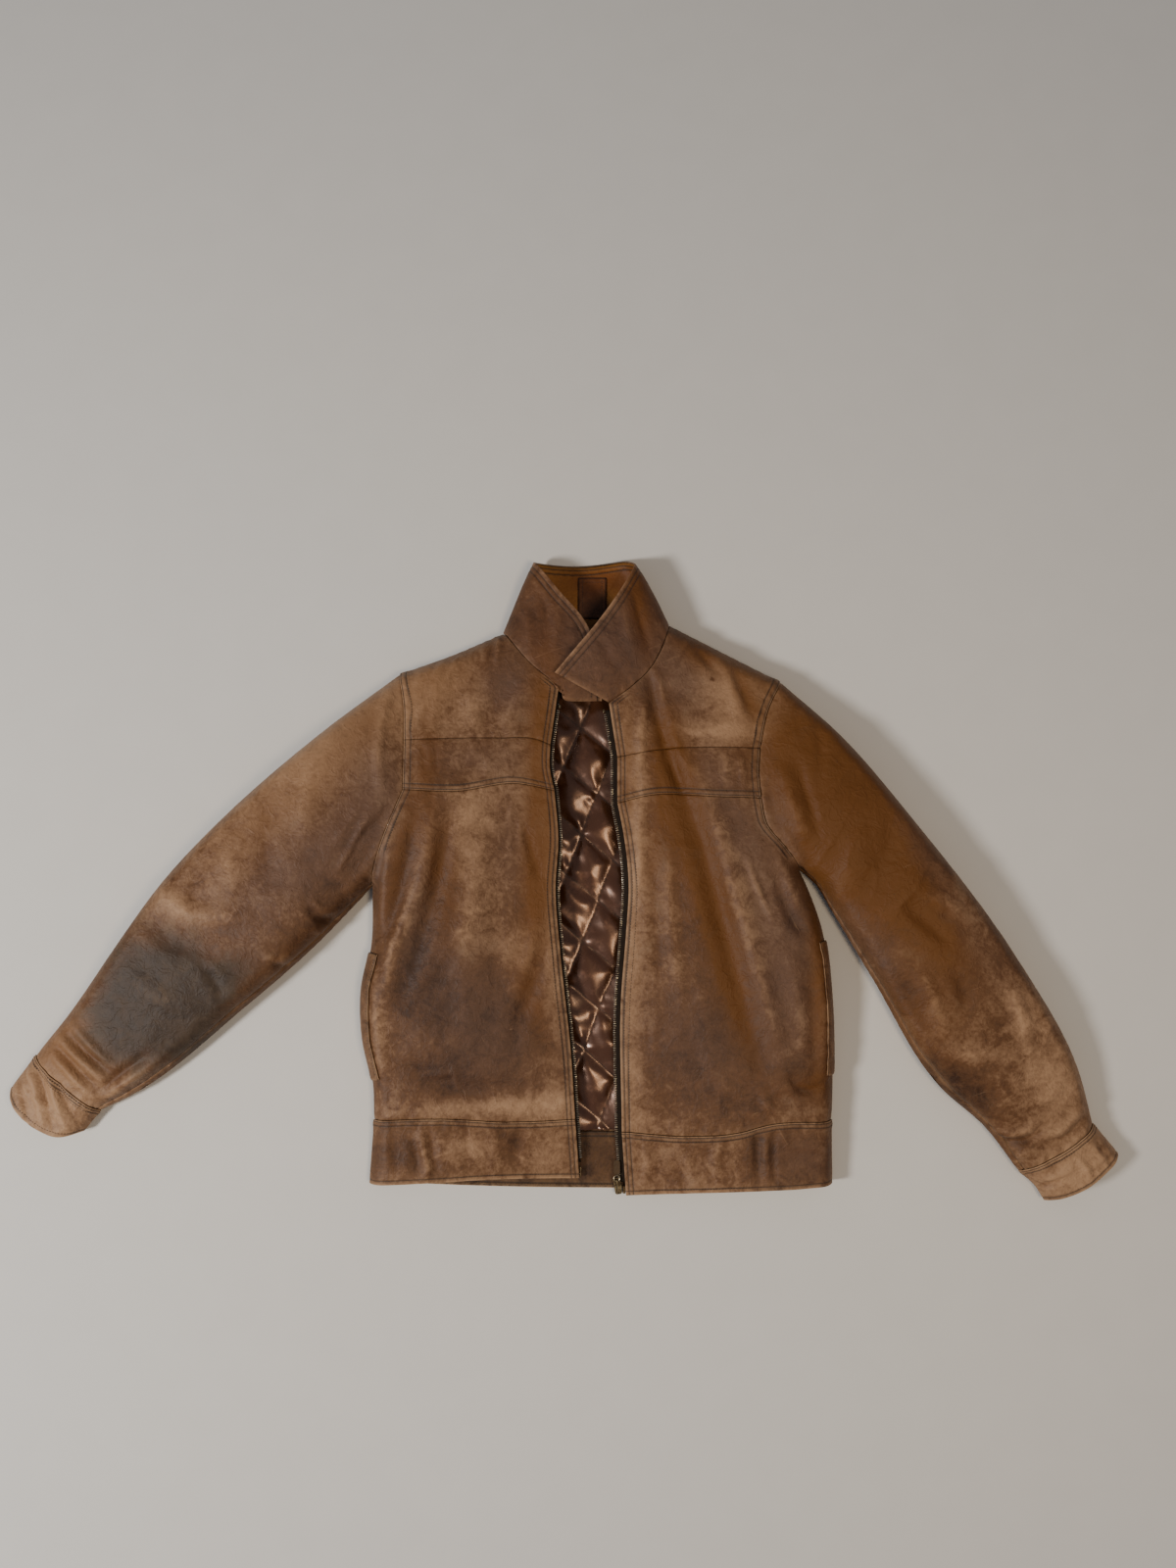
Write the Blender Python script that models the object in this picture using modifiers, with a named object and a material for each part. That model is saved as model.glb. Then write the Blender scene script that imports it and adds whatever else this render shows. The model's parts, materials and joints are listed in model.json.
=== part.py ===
"""A worn leather jacket, laid flat on its back with the front a hand's width open and the collar turned up.

Run it with: blender --background --python part.py

The frame, in metres: the back lies on z = 0, +X runs from the left sleeve to the right sleeve as seen from
above, +Y from the hem to the collar, and the origin is on the back's underside, where the row rests.

Every panel is a wall of leather on one shape: the plan's outline, filled by a top layer and an under layer
that meet at the outline. `top_height` and `under_height` give the two layers anywhere in the plan.
"""

import math

import bmesh
import bpy
import numpy as np

# ---------------------------------------------------------------------------------------- driving sizes
MM = 0.001
LEATHER = 0.0020  # one layer of leather with its backing
CUFF_WALL = 0.0030  # a cuff is turned over on itself
COLLAR_WALL = 0.0030  # two leathers and a stiffener
QUILT_WALL = 0.0030  # satin, wadding and backing
SEAM_GAP = 0.0006  # between two pieces at a seam
LIFT = 0.0005  # between a panel and what lies on it

SIDE_SHARE = 0.36  # height of the outline's fold, as a share of the cloth's height there
FOLD_WIDTH = 0.024  # plan width of the fold at the outline, on the top layer
CROWN_WIDTH = 0.075  # beyond the fold the top layer still rises a little, over this width
CROWN_SHARE = 0.28  # share of the rise that the crown makes
UNDER_FOLD_WIDTH = 0.018  # plan width of the fold at the outline, on the under layer
CORNER_BLEND = 0.012  # rounds the ridge where two outlines are equally near
FOLD_BLEND = 0.003  # evens out the fold's direction where the outline bends
PAST_HEM, PAST_NECK = 0.030, 0.006  # how far the outlines are carried on past their ends
ARMHOLE_DIP = 0.004  # the armhole seam pulls the cloth down
ARMHOLE_DIP_WIDTH = 0.016
SPOT_REACH = 0.062  # how far one height in HEIGHTS spreads

FRONT_BESIDE_ARMHOLE = 0.26  # share of the edge below the chest seam that lies beside the armhole
WELT_COLUMNS = (0.0006, 0.0030, 0.0070, 0.0120)  # from the front's outer edge inwards
PATCH_ROWS = (0.28, 0.56, 0.84)  # shares of the collar's height that the neck patch covers
PATCH_WALL = 0.0010
PATCH_OFF_CENTRE = 0.008

# The zip. Its tape is under the fronts' edges, and its teeth stand on the tape's free edge.
TAPE_WALL = 0.0010
TAPE_UNDER = 0.010  # tape hidden under the front's edge
TAPE_SHOWS = {"left": 0.0030, "right": 0.0060}  # tape that stands out past the edge
TAPE_STARTS = 0.12  # share of the first row below the collar
TAPE_ENDS_SHORT = {"left": 0.594, "right": 0.469}  # share of the waistband's last row, above the hem
CLEARANCE = 0.0003
STOP_SIZE = (0.0024, 0.0040, 0.0020)
STOP_BELOW_END = {"left": 0.0140, "right": 0.0}
PIN_SIZE = (0.0018, 0.0120, 0.0016)
BOX_SIZE = (0.0036, 0.0090, 0.0028)
BOX_FROM_TAPE_EDGE = 0.0046
SLIDER_LENGTH, SLIDER_WIDTH, SLIDER_PLATE, SLIDER_SLOT = 0.0190, 0.0085, 0.0012, 0.0026
SLIDER_CORNER = 0.0026
SLIDER_POST = (0.0022, 0.0050)
SLIDER_POST_FROM_END = 0.0045
SLIDER_TILT = math.radians(10)  # its lower end leans towards the front's edge
SLIDER_GRIP = 0.0012  # how deep the tape's edge lies in the slider
BAIL_LENGTH, BAIL_WIDTH, BAIL_HEIGHT, BAIL_WALL = 0.0170, 0.0018, 0.0026, 0.0011
HINGE_ABOVE_PLATE = 0.0015
HINGE_FROM_BAIL_END = 0.0027
RING_RADIUS, RING_WIRE = 0.0035, 0.0007
TAB_LENGTH, TAB_WIDTH, TAB_WALL, TAB_CORNER = 0.0170, 0.0074, 0.0020, 0.0030
PULL_RISE = math.radians(1.6)  # the tab rests on the tape, which climbs away from the hem

# --------------------------------------------------------------------------------------------- the plan
# The plan's corners, to the nearest half centimetre.
CORNERS = {
    # corner: left side's x and y, right side's x and y
    "neck_side": ((-0.075, 0.300), (0.130, 0.310)),
    "neck_front": ((-0.005, 0.230), (0.055, 0.210)),
    "shoulder_tip": ((-0.200, 0.250), (0.265, 0.240)),
    "yoke_outer": ((-0.190, 0.165), (0.235, 0.155)),
    "yoke_inner": ((-0.015, 0.160), (0.065, 0.145)),
    "chest_outer": ((-0.190, 0.105), (0.235, 0.095)),
    "chest_inner": ((-0.010, 0.105), (0.065, 0.090)),
    "armpit": ((-0.230, -0.010), (0.285, 0.010)),
    "waist_outer": ((-0.225, -0.285), (0.320, -0.285)),
    "waist_inner": ((0.015, -0.285), (0.070, -0.300)),
    "hem_outer": ((-0.230, -0.360), (0.320, -0.360)),
    "hem_inner": ((0.020, -0.355), (0.075, -0.375)),
    "wrist_upper": ((-0.630, -0.210), (0.630, -0.290)),
    "wrist_lower": ((-0.550, -0.275), (0.540, -0.345)),
    "cuff_upper": ((-0.660, -0.250), (0.660, -0.325)),
    "cuff_lower": ((-0.570, -0.300), (0.570, -0.380)),
}

# Each line runs straight from one corner to another, or bows: at a share of the way it stands this many
# millimetres to the left of its own direction. Lines down the jacket start at the top, and lines across it
# start at the outer side.
LINES = {
    # line: first corner, last corner, (share, bow) on the left side, (share, bow) on the right side
    "shoulder": ("shoulder_tip", "neck_side", [(0.5, -2)], []),
    "neck": ("neck_side", "neck_front", [(0.6, -4)], [(0.25, 11), (0.5, 15), (0.75, 10)]),
    "armhole_yoke": ("shoulder_tip", "yoke_outer", [(0.5, 3)], [(0.5, -5)]),
    "armhole_band": ("yoke_outer", "chest_outer", [], [(0.5, -2)]),
    "armhole_low": ("chest_outer", "armpit", [(0.65, -3)], [(0.3, -10), (0.65, -5)]),
    "side": (
        "armpit", "waist_outer",
        [(0.25, -2), (0.45, -13), (0.65, -12), (0.85, -1)], [(0.1, 9), (0.25, 18), (0.5, 18), (0.85, 7)],
    ),
    "side_band": ("waist_outer", "hem_outer", [], []),
    "edge_yoke": ("neck_front", "yoke_inner", [], []),
    "edge_band": ("yoke_inner", "chest_inner", [(0.5, -3)], []),
    "edge_low": (
        "chest_inner", "waist_inner",
        [(0.15, 1), (0.3, -6), (0.5, -5), (0.8, 0)], [(0.1, 7), (0.25, 12), (0.4, 8), (0.6, 1)],
    ),
    "edge_waist": ("waist_inner", "hem_inner", [], []),
    "yoke_seam": ("yoke_outer", "yoke_inner", [(0.65, 6), (0.9, 6)], [(0.4, -5), (0.65, -6)]),
    "chest_seam": ("chest_outer", "chest_inner", [(0.35, -2), (0.75, 8)], [(0.3, -3), (0.75, -8)]),
    "waist_seam": ("waist_outer", "waist_inner", [(0.3, 3), (0.7, -2)], [(0.3, -2), (0.45, 6), (0.7, 8)]),
    "hem": ("hem_outer", "hem_inner", [(0.5, 3)], []),
    "sleeve_upper": (
        "shoulder_tip", "wrist_upper",
        [(0.2, -20), (0.45, -34), (0.6, -33), (0.75, -20), (0.9, -5)],
        [(0.15, 22), (0.35, 34), (0.7, 39), (0.9, 24)],
    ),
    "sleeve_lower": (
        "armpit", "wrist_lower",
        [(0.25, 12), (0.5, 15), (0.9, 10)], [(0.05, 5), (0.15, 2), (0.35, -6), (0.7, -17), (0.85, -2)],
    ),
    "cuff_seam": ("wrist_upper", "wrist_lower", [], [(0.5, 2)]),
    "cuff_upper": ("wrist_upper", "cuff_upper", [], []),
    "cuff_lower": ("wrist_lower", "cuff_lower", [], [(0.6, 3)]),
    "cuff_end": ("cuff_upper", "cuff_lower", [(0.25, -14), (0.55, -20), (0.85, -14)], [(0.25, 4), (0.6, 7)]),
}
BACK_LINES = {
    # line: its corner on both sides, (share, bow)
    "neck": ("neck_side", [(0.2, -6), (0.5, -11), (0.8, -8)]),
    "waist": ("waist_outer", [(0.25, -13), (0.5, -16), (0.75, -15)]),
    "hem": ("hem_outer", [(0.2, -5), (0.5, -8), (0.8, -7)]),
}


def bowed(start, end, bows):
    """The points of a line from start to end, moved sideways by its bows."""
    start, end = np.array(start), np.array(end)
    step = end - start
    sideways = np.array((-step[1], step[0])) / np.linalg.norm(step)
    middle = [start + share * step + bow * MM * sideways for share, bow in bows]
    return [start, *middle, end]


PLAN = {
    side: {
        name: bowed(CORNERS[first][number], CORNERS[last][number], bows[number])
        for name, (first, last, *bows) in LINES.items()
    }
    for number, side in enumerate(("left", "right"))
}
BACK_NECK, BACK_WAIST, BACK_HEM = (bowed(*CORNERS[corner], bows) for corner, bows in BACK_LINES.values())

# Where the cloth's top lies away from the outline.
HEIGHTS = [
    # x, y, height
    (-0.130, 0.220, 0.046),
    (-0.040, 0.220, 0.045),
    (0.100, 0.215, 0.047),
    (0.190, 0.215, 0.048),
    (-0.170, 0.100, 0.056),
    (-0.090, 0.100, 0.048),
    (-0.010, 0.100, 0.033),
    (0.068, 0.100, 0.034),
    (0.140, 0.100, 0.050),
    (0.220, 0.090, 0.058),
    (-0.190, -0.080, 0.046),
    (-0.100, -0.080, 0.042),
    (0.000, -0.080, 0.025),
    (0.078, -0.080, 0.027),
    (0.170, -0.080, 0.046),
    (0.280, -0.080, 0.050),
    (-0.190, -0.240, 0.040),
    (-0.080, -0.240, 0.034),
    (0.010, -0.240, 0.020),
    (0.070, -0.240, 0.020),
    (0.160, -0.240, 0.038),
    (0.280, -0.240, 0.044),
    (-0.200, -0.350, 0.031),
    (-0.100, -0.350, 0.022),
    (0.020, -0.350, 0.006),
    (0.072, -0.370, 0.004),
    (0.160, -0.360, 0.024),
    (0.290, -0.350, 0.033),
    (-0.280, 0.100, 0.064),
    (-0.380, 0.000, 0.062),
    (-0.460, -0.100, 0.056),
    (-0.530, -0.180, 0.046),
    (-0.610, -0.260, 0.030),
    (0.340, 0.090, 0.064),
    (0.420, -0.040, 0.062),
    (0.500, -0.160, 0.056),
    (0.570, -0.270, 0.046),
    (0.605, -0.335, 0.031),
]

# The collar's free edge, by how far along the neckline it stands, from the left front round to the right.
COLLAR_EDGE = [
    # share, x, y, z
    (0.000, 0.0470, 0.2135, 0.0350),
    (0.080, 0.0450, 0.2620, 0.0400),
    (0.150, 0.0290, 0.3065, 0.0430),
    (0.200, -0.0060, 0.3490, 0.0440),
    (0.222, -0.0310, 0.3800, 0.0370),
    (0.233, -0.0370, 0.3880, 0.0240),
    (0.252, -0.0330, 0.3905, 0.0110),
    (0.300, -0.0150, 0.3895, 0.0040),
    (0.470, 0.0300, 0.3885, 0.0030),
    (0.620, 0.0560, 0.3915, 0.0040),
    (0.680, 0.0760, 0.3925, 0.0110),
    (0.707, 0.0870, 0.3860, 0.0270),
    (0.730, 0.0860, 0.3780, 0.0420),
    (0.780, 0.0740, 0.3540, 0.0540),
    (0.860, 0.0460, 0.3120, 0.0600),
    (0.940, 0.0100, 0.2680, 0.0600),
    (1.000, -0.0100, 0.2445, 0.0570),
]
# The left leaf's end drops straight down past the front's corner before it crosses to the right.
COLLAR_LEFT_END = [
    # x, y, z
    (0.0010, 0.2150, 0.0360),
    (0.0150, 0.2130, 0.0350),
    (0.0310, 0.2130, 0.0350),
]

# ------------------------------------------------------------------------------- where the panels' points go
SHARES = {
    "armhole_yoke": [0.0, 0.04, 0.14, 0.36, 0.66, 1.0],
    "armhole_band": [0.0, 0.5, 1.0],
    "armhole_low": [0.0, 0.30, 0.58, 0.80, 0.93, 1.0],
    "across_front": [0.0, 0.025, 0.08, 0.17, 0.30, 0.45, 0.62, 0.78, 0.91, 1.0],
    "neck": [0.0, 0.12, 0.40, 0.72, 1.0],
    "side": [0.0, 0.03, 0.12, 0.28, 0.42, 0.56, 0.70, 0.85, 1.0],
    "band": [0.0, 0.5, 1.0],
    "waistband": [0.0, 0.34, 0.68, 1.0],
    "back_shoulder": [0.0, 0.08, 0.30, 0.62, 1.0],
    "back_neck": [0.0, 0.06, 0.28, 0.5, 0.72, 0.94, 1.0],
    "along_sleeve": [0.0, 0.025, 0.08, 0.17, 0.28, 0.40, 0.52, 0.64, 0.75, 0.85, 0.94, 1.0],
    "around_cuff": [0.0, 0.03, 0.10, 0.21, 0.35, 0.50, 0.63, 0.74, 0.83, 0.90, 0.95, 0.98, 1.0],
    "cuff": [0.0, 0.5, 1.0],
    "up_collar": [0.007, 0.25, 0.5, 0.75, 1.0],
}
POCKET_ROWS = (3, 7)  # the side's points between which the pocket's welt lies

LINING_PLAN = {
    "top": [(-0.165, 0.225), (-0.060, 0.272), (0.030, 0.280), (0.115, 0.276), (0.225, 0.215)],
    "bottom": [(-0.200, -0.283), (-0.100, -0.2965), (0.045, -0.2995), (0.200, -0.2985), (0.292, -0.287)],
    "outer": [(-0.165, 0.225), (-0.165, 0.100), (-0.200, -0.010), (-0.200, -0.150), (-0.200, -0.283)],
    "inner": [(0.225, 0.215), (0.208, 0.100), (0.262, 0.000), (0.294, -0.140), (0.292, -0.287)],
}

# ------------------------------------------------------------------------------------------------ colours
COLOURS = {
    # linear red, green, blue, then roughness and metallic value
    "leather": (0.135, 0.070, 0.036, 0.62, 0.0),
    "leather_pale": (0.240, 0.150, 0.088, 0.66, 0.0),
    "leather_dark": (0.090, 0.048, 0.026, 0.58, 0.0),
    "satin": (0.060, 0.024, 0.010, 0.28, 0.0),
    "tape": (0.020, 0.014, 0.010, 0.80, 0.0),
    "brass": (0.480, 0.330, 0.130, 0.35, 1.0),
}


# ------------------------------------------------------------------------------------------------- curves
def spline(points, steps=12):
    """A smooth line through the points, as many short straight steps."""
    p = np.array(points, float)
    gaps = np.linalg.norm(np.diff(p, axis=0), axis=1)[:, None]
    slopes = np.diff(p, axis=0) / gaps
    tangents = np.vstack(
        [slopes[:1], (slopes[:-1] * gaps[1:] + slopes[1:] * gaps[:-1]) / (gaps[1:] + gaps[:-1]), slopes[-1:]]
    )
    line = []
    for start, end, gap, out, back in zip(p, p[1:], gaps, tangents, tangents[1:]):
        for t in np.linspace(0.0, 1.0, steps, endpoint=False):
            line.append(
                (2 * t**3 - 3 * t**2 + 1) * start
                + (t**3 - 2 * t**2 + t) * gap * out
                + (3 * t**2 - 2 * t**3) * end
                + (t**3 - t**2) * gap * back
            )
    return np.array(line + [p[-1]])


def shares_of(line):
    """How far along the line each of its points lies, from 0 to 1."""
    reach = np.concatenate([[0.0], np.cumsum(np.linalg.norm(np.diff(line, axis=0), axis=1))])
    return reach / reach[-1]


def along(line, shares):
    """The points at these shares of the line's length."""
    own = shares_of(line)
    return np.stack([np.interp(shares, own, column) for column in line.T], axis=1)


def joined(*lines):
    """Lines that follow each other, as one."""
    return np.vstack([lines[0]] + [line[1:] for line in lines[1:]])


def unit(vectors):
    return vectors / np.linalg.norm(vectors, axis=-1, keepdims=True)


def plan_line(side, name, shares):
    return along(spline(PLAN[side][name]), SHARES[shares])


# ---------------------------------------------------------------------------------------- the cloth's height
def outline(side, *names):
    return joined(*(spline(PLAN[side][name], 5) for name in names))


def extended(line, at_start, at_end):
    """The line carried straight on past its ends, so that the fold's direction holds to its last point."""
    start = line[0] + unit(line[0] - line[1]) * at_start
    end = line[-1] + unit(line[-1] - line[-2]) * at_end
    return np.vstack([start, line, end])


def upper_outline(side):
    line = joined(outline(side, "shoulder")[::-1], outline(side, "sleeve_upper", "cuff_upper"))
    return extended(line, PAST_NECK, PAST_HEM)


def lower_outline(side):
    line = joined(outline(side, "side", "side_band")[::-1], outline(side, "sleeve_lower", "cuff_lower"))
    return extended(line, PAST_HEM, PAST_HEM)


# Each outline, and which side of it the cloth lies on: 1 is to the left of its direction.
OUTLINES = [
    (upper_outline("left"), 1),
    (upper_outline("right"), -1),
    (lower_outline("left"), -1),
    (lower_outline("right"), 1),
]
ARMHOLES = [outline(side, "armhole_yoke", "armhole_band", "armhole_low") for side in ("left", "right")]


def distances(points, line):
    """From each plan point to each straight step of a line."""
    start, step = line[:-1], np.diff(line, axis=0)
    to_point = points[..., None, :] - start
    share = (to_point * step).sum(-1) / (step**2).sum(-1)
    return np.linalg.norm(to_point - np.clip(share, 0.0, 1.0)[..., None] * step, axis=-1)


def distance(points, line):
    return distances(points, line).min(-1)


def outline_distance(points):
    near = [np.exp(-distance(points, line) / CORNER_BLEND) for line, _ in OUTLINES]
    return np.maximum(-CORNER_BLEND * np.log(sum(near)), 0.0)


def out_of_cloth(points):
    """The level direction out of the cloth, square to the outline nearby."""
    total = np.zeros(points.shape)
    for line, inside in OUTLINES:
        along_line = unit(np.diff(line, axis=0))
        outward = np.stack([along_line[:, 1], -along_line[:, 0]], -1) * inside
        weights = np.exp(-((distances(points, line) / FOLD_BLEND) ** 2)) + 1e-12
        total += (weights[..., None] * outward).sum(-2)
    return unit(total)


def full_height(points):
    spots = np.array(HEIGHTS)
    apart = ((points[..., None, :] - spots[:, :2]) ** 2).sum(-1)
    weights = np.exp(-apart / (2 * SPOT_REACH**2)) + 1e-12
    return (weights * spots[:, 2]).sum(-1) / weights.sum(-1)


def ease(share, power):
    return 1.0 - (1.0 - np.minimum(share, 1.0)) ** power


def top_height(points):
    """Height of the top layer's outer face over these plan points."""
    inward, full = outline_distance(points), full_height(points)
    fold = SIDE_SHARE * full
    rise = (1 - CROWN_SHARE) * ease(inward / FOLD_WIDTH, 3) + CROWN_SHARE * ease(inward / CROWN_WIDTH, 2)
    seam = sum(np.exp(-((distance(points, line) / ARMHOLE_DIP_WIDTH) ** 2)) for line in ARMHOLES)
    dip = ARMHOLE_DIP * seam * ease(inward / FOLD_WIDTH, 1)
    return fold + (full - fold) * rise - dip


def under_height(points):
    """Height of the under layer's outer face over these plan points: zero where it lies on the floor."""
    fold = SIDE_SHARE * full_height(points)
    return fold * (1 - ease(outline_distance(points) / UNDER_FOLD_WIDTH, 3))


def slope(function, points, step=0.0005):
    """How the function rises along x and y."""
    rises = []
    for axis in np.eye(2) * step:
        rises.append((function(points + axis) - function(points - axis)) / (2 * step))
    return np.stack(rises, -1)


def layer(points, top):
    """The outer face over plan points, and its outward directions. `top` is true in the top layer."""
    top = np.broadcast_to(top, points.shape[:-1])
    on_fold = outline_distance(points) < 0.0002
    height = np.where(top, top_height(points), under_height(points))
    up = np.concatenate([-slope(top_height, points), np.ones(points.shape[:-1] + (1,))], -1)
    down = np.concatenate([slope(under_height, points), -np.ones(points.shape[:-1] + (1,))], -1)
    facing = np.where(top[..., None], unit(up), unit(down))
    level = np.concatenate([out_of_cloth(points), np.zeros(points.shape[:-1] + (1,))], -1)
    facing = np.where(on_fold[..., None], level, facing)
    return np.concatenate([points, height[..., None]], -1), facing


# ------------------------------------------------------------------------------------------------- pieces
def bend(line):
    """How far the line's points lie from the straight line between its ends."""
    share = shares_of(line)[:, None]
    return line - (1 - share) * line[0] - share * line[-1]


def patch(top, bottom, outer, inner, fade=1):
    """Plan points of a four-sided piece, in rows from top to bottom and columns from outer to inner.

    With a higher `fade` the bends of the top and bottom lines die away sooner inside the piece.
    """
    down = (shares_of(outer)[:, None], shares_of(inner)[:, None])
    across = (shares_of(top)[None, :], shares_of(bottom)[None, :])
    v = across[0] + (across[1] - across[0]) * (down[0] + down[1]) / 2
    u = (down[0] + (down[1] - down[0]) * v)[..., None]
    v = v[..., None]
    straight = (1 - v) * outer[:, None] + v * inner[:, None]
    return straight + (1 - u) ** fade * bend(top) + u**fade * bend(bottom)


def drawn_in(points, ring):
    """The rows and columns at a piece's edges moved in by half of the seam's gap."""
    points = points.copy()
    for lines in (points,) if ring else (points, points.swapaxes(0, 1)):
        for edge, next_in in ((0, 1), (-1, -2)):
            lines[edge] += unit(lines[next_in] - lines[edge]) * SEAM_GAP / 2
    return points


def add_object(name, bm, colour, smooth=math.radians(35)):
    bmesh.ops.recalc_face_normals(bm, faces=bm.faces)
    if bm.calc_volume(signed=True) < 0:
        bmesh.ops.reverse_faces(bm, faces=bm.faces)
    mesh = bpy.data.meshes.new(name)
    bm.to_mesh(mesh)
    bm.free()
    mesh.shade_smooth()
    mesh.set_sharp_from_angle(angle=smooth)
    piece = bpy.data.objects.new(name, mesh)
    red, green, blue, roughness, metallic = COLOURS[colour]
    material = bpy.data.materials.new(name)
    material.use_nodes = True
    shader = material.node_tree.nodes["Principled BSDF"]
    shader.inputs["Base Color"].default_value = (red, green, blue, 1.0)
    shader.inputs["Roughness"].default_value = roughness
    shader.inputs["Metallic"].default_value = metallic
    mesh.materials.append(material)
    bpy.data.collections["worn_leather_jacket"].objects.link(piece)
    return piece


def wall(name, points, facing, thickness, colour="leather", ring=False):
    """A piece of cloth: its outer face through a grid of points, and its inner face one thickness behind.
    In a ring the last column meets the first."""
    outer = drawn_in(points, ring)
    inner = outer - facing * thickness
    rows, columns = points.shape[:2]
    bm = bmesh.new()
    outside = [[bm.verts.new(point) for point in row] for row in outer]
    inside = [[bm.verts.new(point) for point in row] for row in inner]
    spans = columns if ring else columns - 1
    for i in range(rows - 1):
        for j in range(spans):
            k = (j + 1) % columns
            for face in (outside, inside):
                bm.faces.new((face[i][j], face[i + 1][j], face[i + 1][k], face[i][k]))
    for i in (0, rows - 1):
        for j in range(spans):
            k = (j + 1) % columns
            bm.faces.new((outside[i][j], outside[i][k], inside[i][k], inside[i][j]))
    if not ring:
        for j in (0, columns - 1):
            for i in range(rows - 1):
                bm.faces.new((outside[i][j], outside[i + 1][j], inside[i + 1][j], inside[i][j]))
    return add_object(name, bm, colour)


def front_plans(side):
    """Plan grids of one front's four panels, from the yoke down."""
    seams = ("yoke_seam", "chest_seam", "waist_seam", "hem")
    across = {name: plan_line(side, name, "across_front") for name in seams}
    beside_armhole = np.linspace(0.0, FRONT_BESIDE_ARMHOLE, len(SHARES["armhole_low"]))
    below_armhole = np.interp(SHARES["side"], (0, 1), (FRONT_BESIDE_ARMHOLE, 1.0))
    edge_low = along(spline(PLAN[side]["edge_low"]), np.append(beside_armhole, below_armhole[1:]))
    return {
        "yoke": patch(
            plan_line(side, "shoulder", "across_front"),
            across["yoke_seam"],
            plan_line(side, "armhole_yoke", "armhole_yoke"),
            joined(plan_line(side, "neck", "neck"), along(spline(PLAN[side]["edge_yoke"]), [0.0, 1.0])),
        ),
        "band": patch(
            across["yoke_seam"],
            across["chest_seam"],
            plan_line(side, "armhole_band", "armhole_band"),
            plan_line(side, "edge_band", "band"),
        ),
        "lower": patch(
            across["chest_seam"],
            across["waist_seam"],
            joined(plan_line(side, "armhole_low", "armhole_low"), plan_line(side, "side", "side")),
            edge_low,
        ),
        "waistband": patch(
            across["waist_seam"],
            across["hem"],
            plan_line(side, "side_band", "waistband"),
            plan_line(side, "edge_waist", "waistband"),
        ),
    }


def armhole_points(side):
    return joined(*(plan_line(side, name, name) for name in ("armhole_yoke", "armhole_band", "armhole_low")))


def make_front(side, plans):
    wall(f"yoke_{side}", *layer(plans["yoke"], True), LEATHER)
    wall(f"chest_band_{side}", *layer(plans["band"], True), LEATHER)
    wall(f"front_{side}", *layer(plans["lower"], True), LEATHER)
    wall(f"waistband_{side}", *layer(plans["waistband"], True), LEATHER)


def make_sleeve(side):
    plan = patch(
        armhole_points(side),
        plan_line(side, "cuff_seam", "around_cuff"),
        plan_line(side, "sleeve_upper", "along_sleeve"),
        plan_line(side, "sleeve_lower", "along_sleeve"),
        fade=6,
    )
    # The top piece ends one column short of the lower outline, and the under piece wraps round to meet it.
    wall(f"sleeve_top_{side}", *layer(plan[:, :-1], True), LEATHER)
    wrapped = np.concatenate([plan[:, -2:], plan[:, -2::-1]], axis=1)
    on_top = np.arange(wrapped.shape[1]) < 2
    wall(f"sleeve_under_{side}", *layer(wrapped, on_top), LEATHER)


def make_cuff(side):
    plan = patch(
        plan_line(side, "cuff_seam", "around_cuff"),
        plan_line(side, "cuff_end", "around_cuff"),
        plan_line(side, "cuff_upper", "cuff"),
        plan_line(side, "cuff_lower", "cuff"),
    )
    around = np.concatenate([plan, plan[:, -2:0:-1]], axis=1)
    on_top = np.arange(around.shape[1]) < plan.shape[1]
    wall(f"cuff_{side}", *layer(around, on_top), CUFF_WALL, "leather_pale", ring=True)


def back_top():
    return joined(
        plan_line("left", "shoulder", "back_shoulder"),
        along(spline(BACK_NECK), SHARES["back_neck"]),
        plan_line("right", "shoulder", "back_shoulder")[::-1],
    )


def make_back():
    top = back_top()
    spread = shares_of(top)
    waist, hem = along(spline(BACK_WAIST), spread), along(spline(BACK_HEM), spread)
    sides = [joined(armhole_points(side), plan_line(side, "side", "side")) for side in ("left", "right")]
    bands = [plan_line(side, "side_band", "waistband") for side in ("left", "right")]
    wall("back", *layer(patch(top, waist, *sides), False), LEATHER)
    wall("waistband_back", *layer(patch(waist, hem, *bands), False), LEATHER)


def level_sheet(name, plan, floor, thickness, colour):
    points = np.concatenate([plan, np.full(plan.shape[:2] + (1,), floor)], -1)
    return wall(name, points, np.broadcast_to((0.0, 0.0, -1.0), points.shape), thickness, colour)


def make_lining():
    plan = patch(
        along(spline(LINING_PLAN["top"]), np.linspace(0, 1, 9)),
        along(spline(LINING_PLAN["bottom"]), np.linspace(0, 1, 9)),
        along(spline(LINING_PLAN["outer"]), np.linspace(0, 1, 9)),
        along(spline(LINING_PLAN["inner"]), np.linspace(0, 1, 9)),
    )
    level_sheet("lining_back", plan, LEATHER + LIFT, QUILT_WALL, "satin")


def neckline():
    """The line that the collar is sewn to, with its outward directions, from the left front to the right."""
    parts = [
        layer(plan_line("left", "neck", "neck")[::-1], True),
        layer(along(spline(BACK_NECK), SHARES["back_neck"]), False),
        layer(plan_line("right", "neck", "neck"), True),
    ]
    return [joined(*(part[kind] for part in parts)) for kind in (0, 1)]


def halved(line):
    """The line with a point added halfway along each step."""
    middles = (line[:-1] + line[1:]) / 2
    return np.insert(line, range(1, len(line)), middles, axis=0)


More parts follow.
